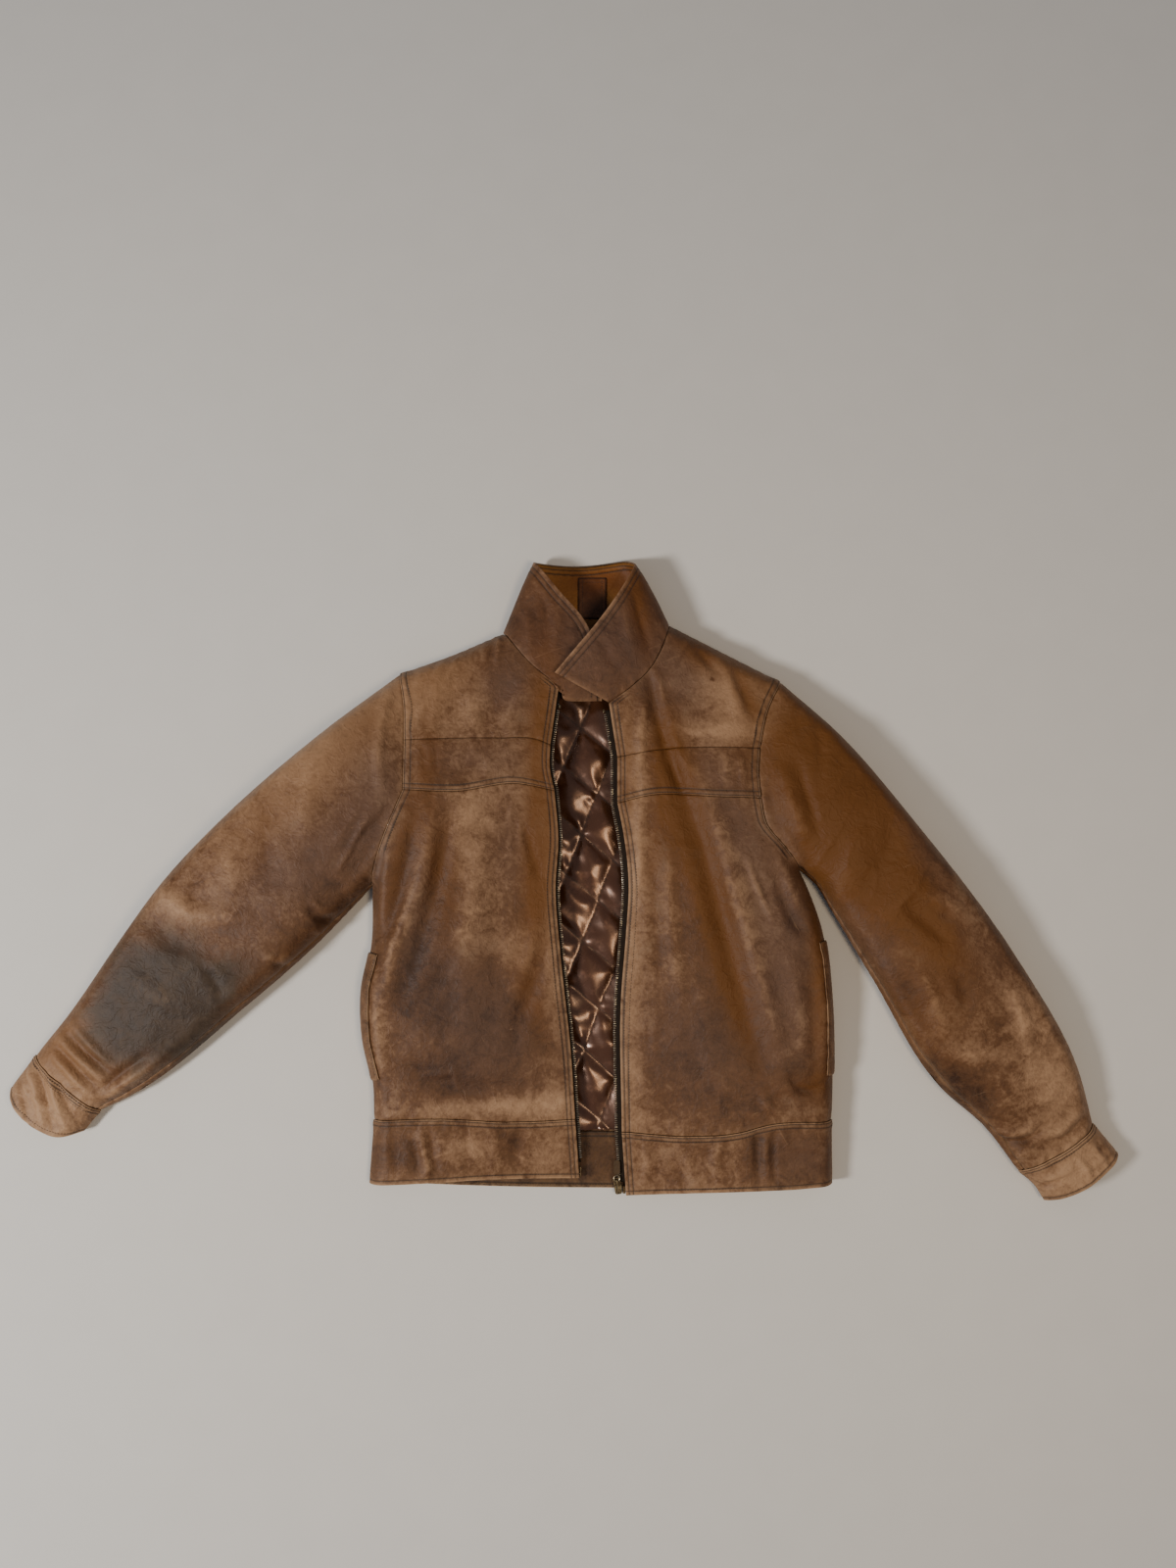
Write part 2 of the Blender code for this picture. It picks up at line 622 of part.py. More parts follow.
def make_collar():
    sewn, sewn_facing = (halved(line) for line in neckline())
    table = np.array(COLLAR_EDGE)
    edge_line = spline(table[:, 1:], 8)
    table_shares = np.interp(np.arange(len(edge_line)), np.arange(0, len(edge_line), 8), table[:, 0])
    free = np.stack([np.interp(shares_of(sewn), table_shares, column) for column in edge_line.T], 1)
    rise = np.array(SHARES["up_collar"])[None, :, None]
    points = sewn[:, None] * (1 - rise) + free[:, None] * rise
    points[0, 1:-1] = COLLAR_LEFT_END
    facing = unit(np.cross(np.gradient(points, axis=1), np.gradient(points, axis=0)))
    facing[:, 0] = unit(sewn_facing)
    wall("collar", points, facing, COLLAR_WALL, "leather_dark")
    return points


def make_neck_patch(collar_points):
    """The plain patch sewn inside the back of the neck."""
    middle = collar_points.shape[0] // 2
    low, high = (collar_points[middle + k].copy() for k in (-1, 1))
    rows = []
    for share in PATCH_ROWS:
        left = np.array([np.interp(share, np.linspace(0, 1, len(low)), low[:, k]) for k in range(3)])
        right = np.array([np.interp(share, np.linspace(0, 1, len(high)), high[:, k]) for k in range(3)])
        rows.append([left, (left + right) / 2, right])
    points = np.array(rows) + (PATCH_OFF_CENTRE, 0.0, COLLAR_WALL + LIFT)
    facing = np.broadcast_to((0.0, 0.0, -1.0), points.shape)
    wall("neck_patch", points, facing, PATCH_WALL, "leather_dark")


def make_tape(side, plans):
    """One half of the zip's tape, under the front's edge. Returns the middle line of its free edge."""
    rows = []
    for name in ("yoke", "band", "lower", "waistband"):
        grid = layer(plans[name], True)[0]
        start = len(SHARES["neck"]) - 1 if name == "yoke" else 1
        rows += [(row[-1], row[-2]) for row in grid[start:]]
    edge = np.array([row[0] for row in rows])
    inward = unit(np.array([row[1] for row in rows]) - edge)
    edge[0] += TAPE_STARTS * (edge[1] - edge[0])
    edge[-1] += TAPE_ENDS_SHORT[side] * (edge[-2] - edge[-1])
    drop = (0.0, 0.0, -(LEATHER + LIFT))
    across = [edge - inward * TAPE_SHOWS[side], edge, edge + inward * TAPE_UNDER]
    points = np.stack(across, axis=1) + drop
    facing = unit(np.cross(np.gradient(points, axis=1), np.gradient(points, axis=0)))
    facing *= np.sign(facing[..., 2:])
    wall(f"zip_tape_{side}", points, facing, TAPE_WALL, "tape")
    return points[:, 0] - (0.0, 0.0, TAPE_WALL / 2)


def make_welt(side, plans):
    """The pocket's welt, a strip of leather on the front beside the side seam."""
    rows = plans["lower"][len(SHARES["armhole_low"]) - 1 :][POCKET_ROWS[0] : POCKET_ROWS[1] + 1]
    inward = unit(rows[:, 2] - rows[:, 0])
    plan = rows[:, None, 0] + inward[:, None] * np.array(WELT_COLUMNS)[None, :, None]
    points, facing = layer(plan, True)
    wall(f"pocket_welt_{side}", points + facing * (LIFT + LEATHER), facing, LEATHER)


def block(name, centre, size):
    """A small cast piece with rounded edges."""
    bm = bmesh.new()
    bmesh.ops.create_cube(bm, size=1.0)
    bmesh.ops.scale(bm, vec=size, verts=bm.verts)
    piece = add_object(name, bm, "brass")
    bevel = piece.modifiers.new("rounded edges", "BEVEL")
    bevel.width, bevel.segments = min(size) / 4, 2
    piece.location = centre
    return piece


def plate(name, points, thickness, colour):
    """A plate with this outline, from a filled curve."""
    curve = bpy.data.curves.new(name, "CURVE")
    curve.dimensions, curve.fill_mode, curve.extrude = "2D", "BOTH", thickness / 2
    line = curve.splines.new("POLY")
    line.points.add(len(points) - 1)
    for point, place in zip(line.points, points):
        point.co = (*place, 0.0, 1.0)
    line.use_cyclic_u = True
    guide = bpy.data.objects.new(name, curve)
    bpy.context.scene.collection.objects.link(guide)
    graph = bpy.context.evaluated_depsgraph_get()
    bm = bmesh.new()
    bm.from_mesh(bpy.data.meshes.new_from_object(guide.evaluated_get(graph)))
    bmesh.ops.remove_doubles(bm, verts=bm.verts, dist=1e-6)
    bpy.data.objects.remove(guide)
    return add_object(name, bm, colour)


def arc(x, y, radius, start, end, steps=6):
    """Points round a centre, with the angles in degrees."""
    angles = np.radians(np.linspace(start, end, steps + 1))
    return [(x + radius * math.cos(angle), y + radius * math.sin(angle)) for angle in angles]


def rounded_outline(width, length, radius):
    x, y = width / 2 - radius, length / 2 - radius
    return [
        point
        for side, end, start in ((x, y, 0), (-x, y, 90), (-x, -y, 180), (x, -y, 270))
        for point in arc(side, end, radius, start, start + 90)
    ]


def bail_outline():
    """Side view of the bail, a low arch whose feet run down into the slider's upper plate."""
    foot = -SLIDER_PLATE / 2
    outer_round, inner_round = (BAIL_HEIGHT + BAIL_WALL) / 2, BAIL_HEIGHT / 2
    outer, inner = BAIL_LENGTH / 2, BAIL_LENGTH / 2 - BAIL_WALL
    return [
        (outer, foot),
        *arc(outer - outer_round, outer_round, outer_round, 0, 90),
        *arc(outer_round - outer, outer_round, outer_round, 90, 180),
        (-outer, foot),
        (-inner, foot),
        *arc(inner_round - inner, inner_round, inner_round, 180, 90),
        *arc(inner - inner_round, inner_round, inner_round, 90, 0),
        (inner, foot),
    ]


def empty(name, place, turn):
    holder = bpy.data.objects.new(name, None)
    bpy.data.collections["worn_leather_jacket"].objects.link(holder)
    holder.location, holder.rotation_euler = place, turn
    return holder


def make_slider(tape_end):
    """Two plates held apart by a post, with a bail on top. Returns where the pull's hinge lies."""
    middle = tape_end + (SLIDER_GRIP - SLIDER_WIDTH / 2, 0.0, 0.0)
    apart = (SLIDER_SLOT + SLIDER_PLATE) / 2
    outline = rounded_outline(SLIDER_WIDTH, SLIDER_LENGTH, SLIDER_CORNER)
    slider = plate("zip_slider", outline, SLIDER_PLATE, "brass")
    slider.location = (0.0, 0.0, apart)
    lower = plate("slider_lower_plate", outline, SLIDER_PLATE, "brass")
    lower.location = (0.0, 0.0, -apart)
    post_place = (0.0, SLIDER_LENGTH / 2 - SLIDER_POST_FROM_END, 0.0)
    post = block("slider_post", post_place, (*SLIDER_POST, 2 * apart + SLIDER_PLATE / 2))
    bail = plate("slider_bail", bail_outline(), BAIL_WIDTH, "brass")
    bail.rotation_euler = (math.pi / 2, 0.0, math.pi / 2)
    bail.location = (0.0, 0.0, apart + SLIDER_PLATE / 2)
    holder = empty("zip_slider_place", middle, (0.0, 0.0, SLIDER_TILT))
    slider.parent = holder
    for piece in (lower, post, bail):
        union = slider.modifiers.new("with " + piece.name, "BOOLEAN")
        union.operation, union.object = "UNION", piece
        piece.parent = holder
        piece.hide_render, piece.display_type = True, "WIRE"
        bpy.data.collections["worn_leather_jacket"].objects.unlink(piece)
        bpy.data.collections["joined_shapes"].objects.link(piece)
    reach = BAIL_LENGTH / 2 - HINGE_FROM_BAIL_END
    above = apart + SLIDER_PLATE / 2 + HINGE_ABOVE_PLATE
    return middle + (-math.sin(SLIDER_TILT) * reach, math.cos(SLIDER_TILT) * reach, above)


def make_pull(hinge):
    """The ring through the bail and the leather tab beyond it, both held by an empty on the hinge's axis."""
    pivot = empty("zip_pull_hinge", hinge, (PULL_RISE, 0.0, 0.0))
    bpy.ops.mesh.primitive_torus_add(
        major_radius=RING_RADIUS, minor_radius=RING_WIRE, major_segments=28, minor_segments=8
    )
    primitive = bpy.context.object
    bm = bmesh.new()
    bm.from_mesh(primitive.data)
    bpy.data.objects.remove(primitive)
    ring = add_object("zip_pull_ring", bm, "brass")
    ring.location = (0.0, RING_RADIUS, 0.0)
    tab = plate("zip_pull_tab", rounded_outline(TAB_WIDTH, TAB_LENGTH, TAB_CORNER), TAB_WALL, "leather_dark")
    tab.location = (0.0, 2 * RING_RADIUS + RING_WIRE + CLEARANCE + TAB_LENGTH / 2, 0.0)
    for piece in (ring, tab):
        piece.parent = pivot


def make_zip(edges):
    """The metal on the tapes, from the middle line of each tape's free edge."""
    for side, outward in (("left", 1), ("right", -1)):
        down = unit(edges[side][1] - edges[side][0])
        place = edges[side][0] + down * (STOP_BELOW_END[side] + STOP_SIZE[1] / 2)
        block(f"zip_stop_{side}", place + (outward * (CLEARANCE + STOP_SIZE[0] / 2), 0.0, 0.0), STOP_SIZE)
    pin_place = edges["left"][-1] - (PIN_SIZE[0] / 2, CLEARANCE + PIN_SIZE[1] / 2, 0.0)
    block("zip_pin", pin_place, PIN_SIZE)
    box_drop = (BOX_SIZE[2] - TAPE_WALL) / 2
    box_place = edges["right"][-1] + (BOX_FROM_TAPE_EDGE, -CLEARANCE - BOX_SIZE[1] / 2, -box_drop)
    block("zip_box", box_place, BOX_SIZE)
    make_pull(make_slider(edges["right"][-1]))


def main():
    for piece in list(bpy.data.objects):
        bpy.data.objects.remove(piece)
    collection = bpy.data.collections.new("worn_leather_jacket")
    joined_shapes = bpy.data.collections.new("joined_shapes")
    joined_shapes.hide_render = True
    for group in (collection, joined_shapes):
        bpy.context.scene.collection.children.link(group)
    tape_edges = {}
    for side in ("left", "right"):
        plans = front_plans(side)
        make_front(side, plans)
        make_sleeve(side)
        make_cuff(side)
        tape_edges[side] = make_tape(side, plans)
        make_welt(side, plans)
    make_back()
    make_lining()
    make_neck_patch(make_collar())
    make_zip(tape_edges)


main()
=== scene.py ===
"""The looks of a worn leather jacket, laid flat on its back with its front open and its collar turned up.

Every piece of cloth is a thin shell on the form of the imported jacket. Its plan is filled by a fine grid, its
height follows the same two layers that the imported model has, and creases, puckers and sunken seams are added on
top. Thread, zip teeth and quilting follow the grids' own rows and columns.
Units are metres unless a comment says millimetres. +X runs to the right sleeve and +Y to the collar.
"""

import json
import math

import bpy
import numpy as np
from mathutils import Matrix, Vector

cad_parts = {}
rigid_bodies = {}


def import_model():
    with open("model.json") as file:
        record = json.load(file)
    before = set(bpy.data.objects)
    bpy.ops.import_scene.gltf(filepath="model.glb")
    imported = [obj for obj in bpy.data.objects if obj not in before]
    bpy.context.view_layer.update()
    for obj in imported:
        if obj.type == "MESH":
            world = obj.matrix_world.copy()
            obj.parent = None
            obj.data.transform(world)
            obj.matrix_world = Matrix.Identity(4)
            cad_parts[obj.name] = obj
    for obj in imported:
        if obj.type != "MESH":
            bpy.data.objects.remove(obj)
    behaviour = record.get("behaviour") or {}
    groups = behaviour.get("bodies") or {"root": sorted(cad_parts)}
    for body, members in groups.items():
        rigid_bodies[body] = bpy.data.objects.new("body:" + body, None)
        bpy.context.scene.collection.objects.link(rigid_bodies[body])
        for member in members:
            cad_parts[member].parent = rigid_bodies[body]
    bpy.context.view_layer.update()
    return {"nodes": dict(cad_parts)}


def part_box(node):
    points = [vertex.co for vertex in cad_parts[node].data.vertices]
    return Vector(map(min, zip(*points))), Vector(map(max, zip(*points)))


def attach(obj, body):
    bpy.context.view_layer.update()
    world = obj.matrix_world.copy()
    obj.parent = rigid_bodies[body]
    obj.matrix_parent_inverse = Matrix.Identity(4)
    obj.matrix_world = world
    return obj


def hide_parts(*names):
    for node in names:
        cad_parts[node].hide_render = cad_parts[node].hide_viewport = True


for leftover in list(bpy.data.objects):
    bpy.data.objects.remove(leftover)
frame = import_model()

MM = 0.001
SIDES = ("left", "right")

# ------------------------------------------------------------------------------------------ cloth's form
LEATHER = 0.0020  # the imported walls, which the welts and the tapes lie against
SEAM_GAP = 0.0003
LIFT = 0.0005  # room between two pieces that lie on each other
SIDE_SHARE = 0.36  # height of the outline's fold, as a share of the cloth's height there
FOLD_WIDTH = 0.024  # over which the cloth rises from its fold
CROWN_WIDTH = 0.075  # over which it rises by the last share, CROWN_SHARE, of its height
CROWN_SHARE = 0.28
UNDER_FOLD_WIDTH = 0.018
CORNER_BLEND = 0.012  # how softly the upper and lower outlines meet where they are close
PAST_HEM, PAST_NECK = 0.030, 0.006  # the outlines run on past the open ends, so that these don't fold
ARMHOLE_DIP = 0.004
ARMHOLE_DIP_WIDTH = 0.016
SPOT_REACH = 0.062  # how far round each of the HEIGHTS counts

# Walls of the visible pieces.
PANEL_WALL, BACK_WALL, BACK_BAND_WALL, LINING_WALL = 0.0017, 0.0014, 0.0016, 0.0016
CUFF_WALL, COLLAR_WALL, PATCH_WALL, WELT_WALL, TAPE_WALL = 0.0022, 0.0024, 0.0009, 0.0018, 0.0010

# Spacing of each piece's grid, away from its edges.
STEPS = {
    "panel": 0.0031, "sleeve": 0.0034, "cuff": 0.0028, "back": 0.0048, "back_band": 0.0040, "collar": 0.0031,
    "patch": 0.0016, "welt": 0.0026, "tape": 0.0030, "lining": 0.0030,
}

# The plan's corners, to the nearest half centimetre.
CORNERS = {
    # corner: left side's x and y, right side's x and y
    "neck_side": ((-0.075, 0.300), (0.130, 0.310)),
    "neck_front": ((-0.005, 0.230), (0.055, 0.210)),
    "shoulder_tip": ((-0.200, 0.250), (0.265, 0.240)),
    "yoke_outer": ((-0.190, 0.165), (0.235, 0.155)),
    "yoke_inner": ((-0.015, 0.160), (0.065, 0.145)),
    "chest_outer": ((-0.190, 0.105), (0.235, 0.095)),
    "chest_inner": ((-0.010, 0.105), (0.065, 0.090)),
    "armpit": ((-0.230, -0.010), (0.285, 0.010)),
    "waist_outer": ((-0.225, -0.285), (0.320, -0.285)),
    "waist_inner": ((0.015, -0.285), (0.070, -0.300)),
    "hem_outer": ((-0.230, -0.360), (0.320, -0.360)),
    "hem_inner": ((0.020, -0.355), (0.075, -0.375)),
    "wrist_upper": ((-0.630, -0.210), (0.630, -0.290)),
    "wrist_lower": ((-0.550, -0.275), (0.540, -0.345)),
    "cuff_upper": ((-0.660, -0.250), (0.660, -0.325)),
    "cuff_lower": ((-0.570, -0.300), (0.570, -0.380)),
}

# Each line runs straight from one corner to another, or bows: at a share of the way it stands this many
# millimetres to the left of its own direction. Lines down the jacket start at the top, and lines across it
# start at the outer side.
LINES = {
    # line: first corner, last corner, (share, bow) on the left side, (share, bow) on the right side
    "shoulder": ("shoulder_tip", "neck_side", [(0.5, -2)], []),
    "neck": ("neck_side", "neck_front", [(0.6, -4)], [(0.25, 11), (0.5, 15), (0.75, 10)]),
    "armhole_yoke": ("shoulder_tip", "yoke_outer", [(0.5, 3)], [(0.5, -5)]),
    "armhole_band": ("yoke_outer", "chest_outer", [], [(0.5, -2)]),
    "armhole_low": ("chest_outer", "armpit", [(0.65, -3)], [(0.3, -10), (0.65, -5)]),
    "side": (
        "armpit", "waist_outer",
        [(0.25, -2), (0.45, -13), (0.65, -12), (0.85, -1)], [(0.1, 9), (0.25, 18), (0.5, 18), (0.85, 7)],
    ),
    "side_band": ("waist_outer", "hem_outer", [], []),
    "edge_yoke": ("neck_front", "yoke_inner", [], []),
    "edge_band": ("yoke_inner", "chest_inner", [(0.5, -3)], []),
    "edge_low": (
        "chest_inner", "waist_inner",
        [(0.15, 1), (0.3, -6), (0.5, -5), (0.8, 0)], [(0.1, 7), (0.25, 12), (0.4, 8), (0.6, 1)],
    ),
    "edge_waist": ("waist_inner", "hem_inner", [], []),
    "yoke_seam": ("yoke_outer", "yoke_inner", [(0.65, 6), (0.9, 6)], [(0.4, -5), (0.65, -6)]),
    "chest_seam": ("chest_outer", "chest_inner", [(0.35, -2), (0.75, 8)], [(0.3, -3), (0.75, -8)]),
    "waist_seam": ("waist_outer", "waist_inner", [(0.3, 3), (0.7, -2)], [(0.3, -2), (0.45, 6), (0.7, 8)]),
    "hem": ("hem_outer", "hem_inner", [(0.5, 3)], []),
    "sleeve_upper": (
        "shoulder_tip", "wrist_upper",
        [(0.2, -20), (0.45, -34), (0.6, -33), (0.75, -20), (0.9, -5)],
        [(0.15, 22), (0.35, 34), (0.7, 39), (0.9, 24)],
    ),
    "sleeve_lower": (
        "armpit", "wrist_lower",
        [(0.25, 12), (0.5, 15), (0.9, 10)], [(0.05, 5), (0.15, 2), (0.35, -6), (0.7, -17), (0.85, -2)],
    ),
    "cuff_seam": ("wrist_upper", "wrist_lower", [], [(0.5, 2)]),
    "cuff_upper": ("wrist_upper", "cuff_upper", [], []),
    "cuff_lower": ("wrist_lower", "cuff_lower", [], [(0.6, 3)]),
    "cuff_end": ("cuff_upper", "cuff_lower", [(0.25, -14), (0.55, -20), (0.85, -14)], [(0.25, 4), (0.6, 7)]),
}
BACK_LINES = {
    # line: its corner on both sides, (share, bow)
    "neck": ("neck_side", [(0.2, -6), (0.5, -11), (0.8, -8)]),
    "waist": ("waist_outer", [(0.25, -13), (0.5, -16), (0.75, -15)]),
    "hem": ("hem_outer", [(0.2, -5), (0.5, -8), (0.8, -7)]),
}


def bowed(start, end, bows):
    """The points of a line from start to end, moved sideways by its bows."""
    start, end = np.array(start), np.array(end)
    step = end - start
    sideways = np.array((-step[1], step[0])) / np.linalg.norm(step)
    middle = [start + share * step + bow * MM * sideways for share, bow in bows]
    return [start, *middle, end]


PLAN = {
    side: {
        name: bowed(CORNERS[first][number], CORNERS[last][number], bows[number])
        for name, (first, last, *bows) in LINES.items()
    }
    for number, side in enumerate(SIDES)
}
BACK_NECK, BACK_WAIST, BACK_HEM = (bowed(*CORNERS[corner], bows) for corner, bows in BACK_LINES.values())

# Height of the top layer's outer face at these spots of the plan.
HEIGHTS = [
    # x, y, height
    (-0.130, 0.220, 0.046),
    (-0.040, 0.220, 0.045),
    (0.100, 0.215, 0.047),
    (0.190, 0.215, 0.048),
    (-0.170, 0.100, 0.056),
    (-0.090, 0.100, 0.048),
    (-0.010, 0.100, 0.033),
    (0.068, 0.100, 0.034),
    (0.140, 0.100, 0.050),
    (0.220, 0.090, 0.058),
    (-0.190, -0.080, 0.046),
    (-0.100, -0.080, 0.042),
    (0.000, -0.080, 0.025),
    (0.078, -0.080, 0.027),
    (0.170, -0.080, 0.046),
    (0.280, -0.080, 0.050),
    (-0.190, -0.240, 0.040),
    (-0.080, -0.240, 0.034),
    (0.010, -0.240, 0.020),
    (0.070, -0.240, 0.020),
    (0.160, -0.240, 0.038),
    (0.280, -0.240, 0.044),
    (-0.200, -0.350, 0.031),
    (-0.100, -0.350, 0.022),
    (0.020, -0.350, 0.006),
    (0.072, -0.370, 0.004),
    (0.160, -0.360, 0.024),
    (0.290, -0.350, 0.033),
    (-0.280, 0.100, 0.064),
    (-0.380, 0.000, 0.062),
    (-0.460, -0.100, 0.056),
    (-0.530, -0.180, 0.046),
    (-0.610, -0.260, 0.030),
    (0.340, 0.090, 0.064),
    (0.420, -0.040, 0.062),
    (0.500, -0.160, 0.056),
    (0.570, -0.270, 0.046),
    (0.605, -0.335, 0.031),
]

# The collar's free edge, by how far along the neckline it stands, from the left front round to the right.
COLLAR_EDGE = [
    # share, x, y, z
    (0.000, 0.0470, 0.2135, 0.0350),
    (0.080, 0.0450, 0.2620, 0.0400),
    (0.150, 0.0290, 0.3065, 0.0430),
    (0.200, -0.0060, 0.3490, 0.0440),
    (0.222, -0.0310, 0.3800, 0.0370),
    (0.233, -0.0370, 0.3880, 0.0240),
    (0.252, -0.0330, 0.3905, 0.0110),
    (0.300, -0.0150, 0.3895, 0.0040),
    (0.470, 0.0300, 0.3885, 0.0030),
    (0.620, 0.0560, 0.3915, 0.0040),
    (0.680, 0.0760, 0.3925, 0.0110),
    (0.707, 0.0870, 0.3860, 0.0270),
    (0.730, 0.0860, 0.3780, 0.0420),
    (0.780, 0.0740, 0.3540, 0.0540),
    (0.860, 0.0460, 0.3120, 0.0600),
    (0.940, 0.0100, 0.2680, 0.0600),
    (1.000, -0.0100, 0.2445, 0.0570),
]
# The left leaf's end drops straight down past the front's corner before it crosses to the right.
COLLAR_LEFT_END = [
    # x, y, z
    (0.0010, 0.2150, 0.0360),
    (0.0150, 0.2130, 0.0350),
    (0.0310, 0.2130, 0.0350),
]

# The lining is modelled where it shows, and a little way under the fronts.
LINING_PLAN = {
    "top": [(-0.165, 0.225), (-0.060, 0.272), (0.030, 0.280), (0.115, 0.276), (0.225, 0.215)],
    "bottom": [(-0.200, -0.283), (-0.100, -0.2965), (0.045, -0.2995), (0.200, -0.2985), (0.292, -0.287)],
    "outer": [(-0.165, 0.225), (-0.165, 0.100), (-0.200, -0.010), (-0.200, -0.150), (-0.200, -0.283)],
    "inner": [(0.225, 0.215), (0.208, 0.100), (0.262, 0.000), (0.294, -0.140), (0.292, -0.287)],
}

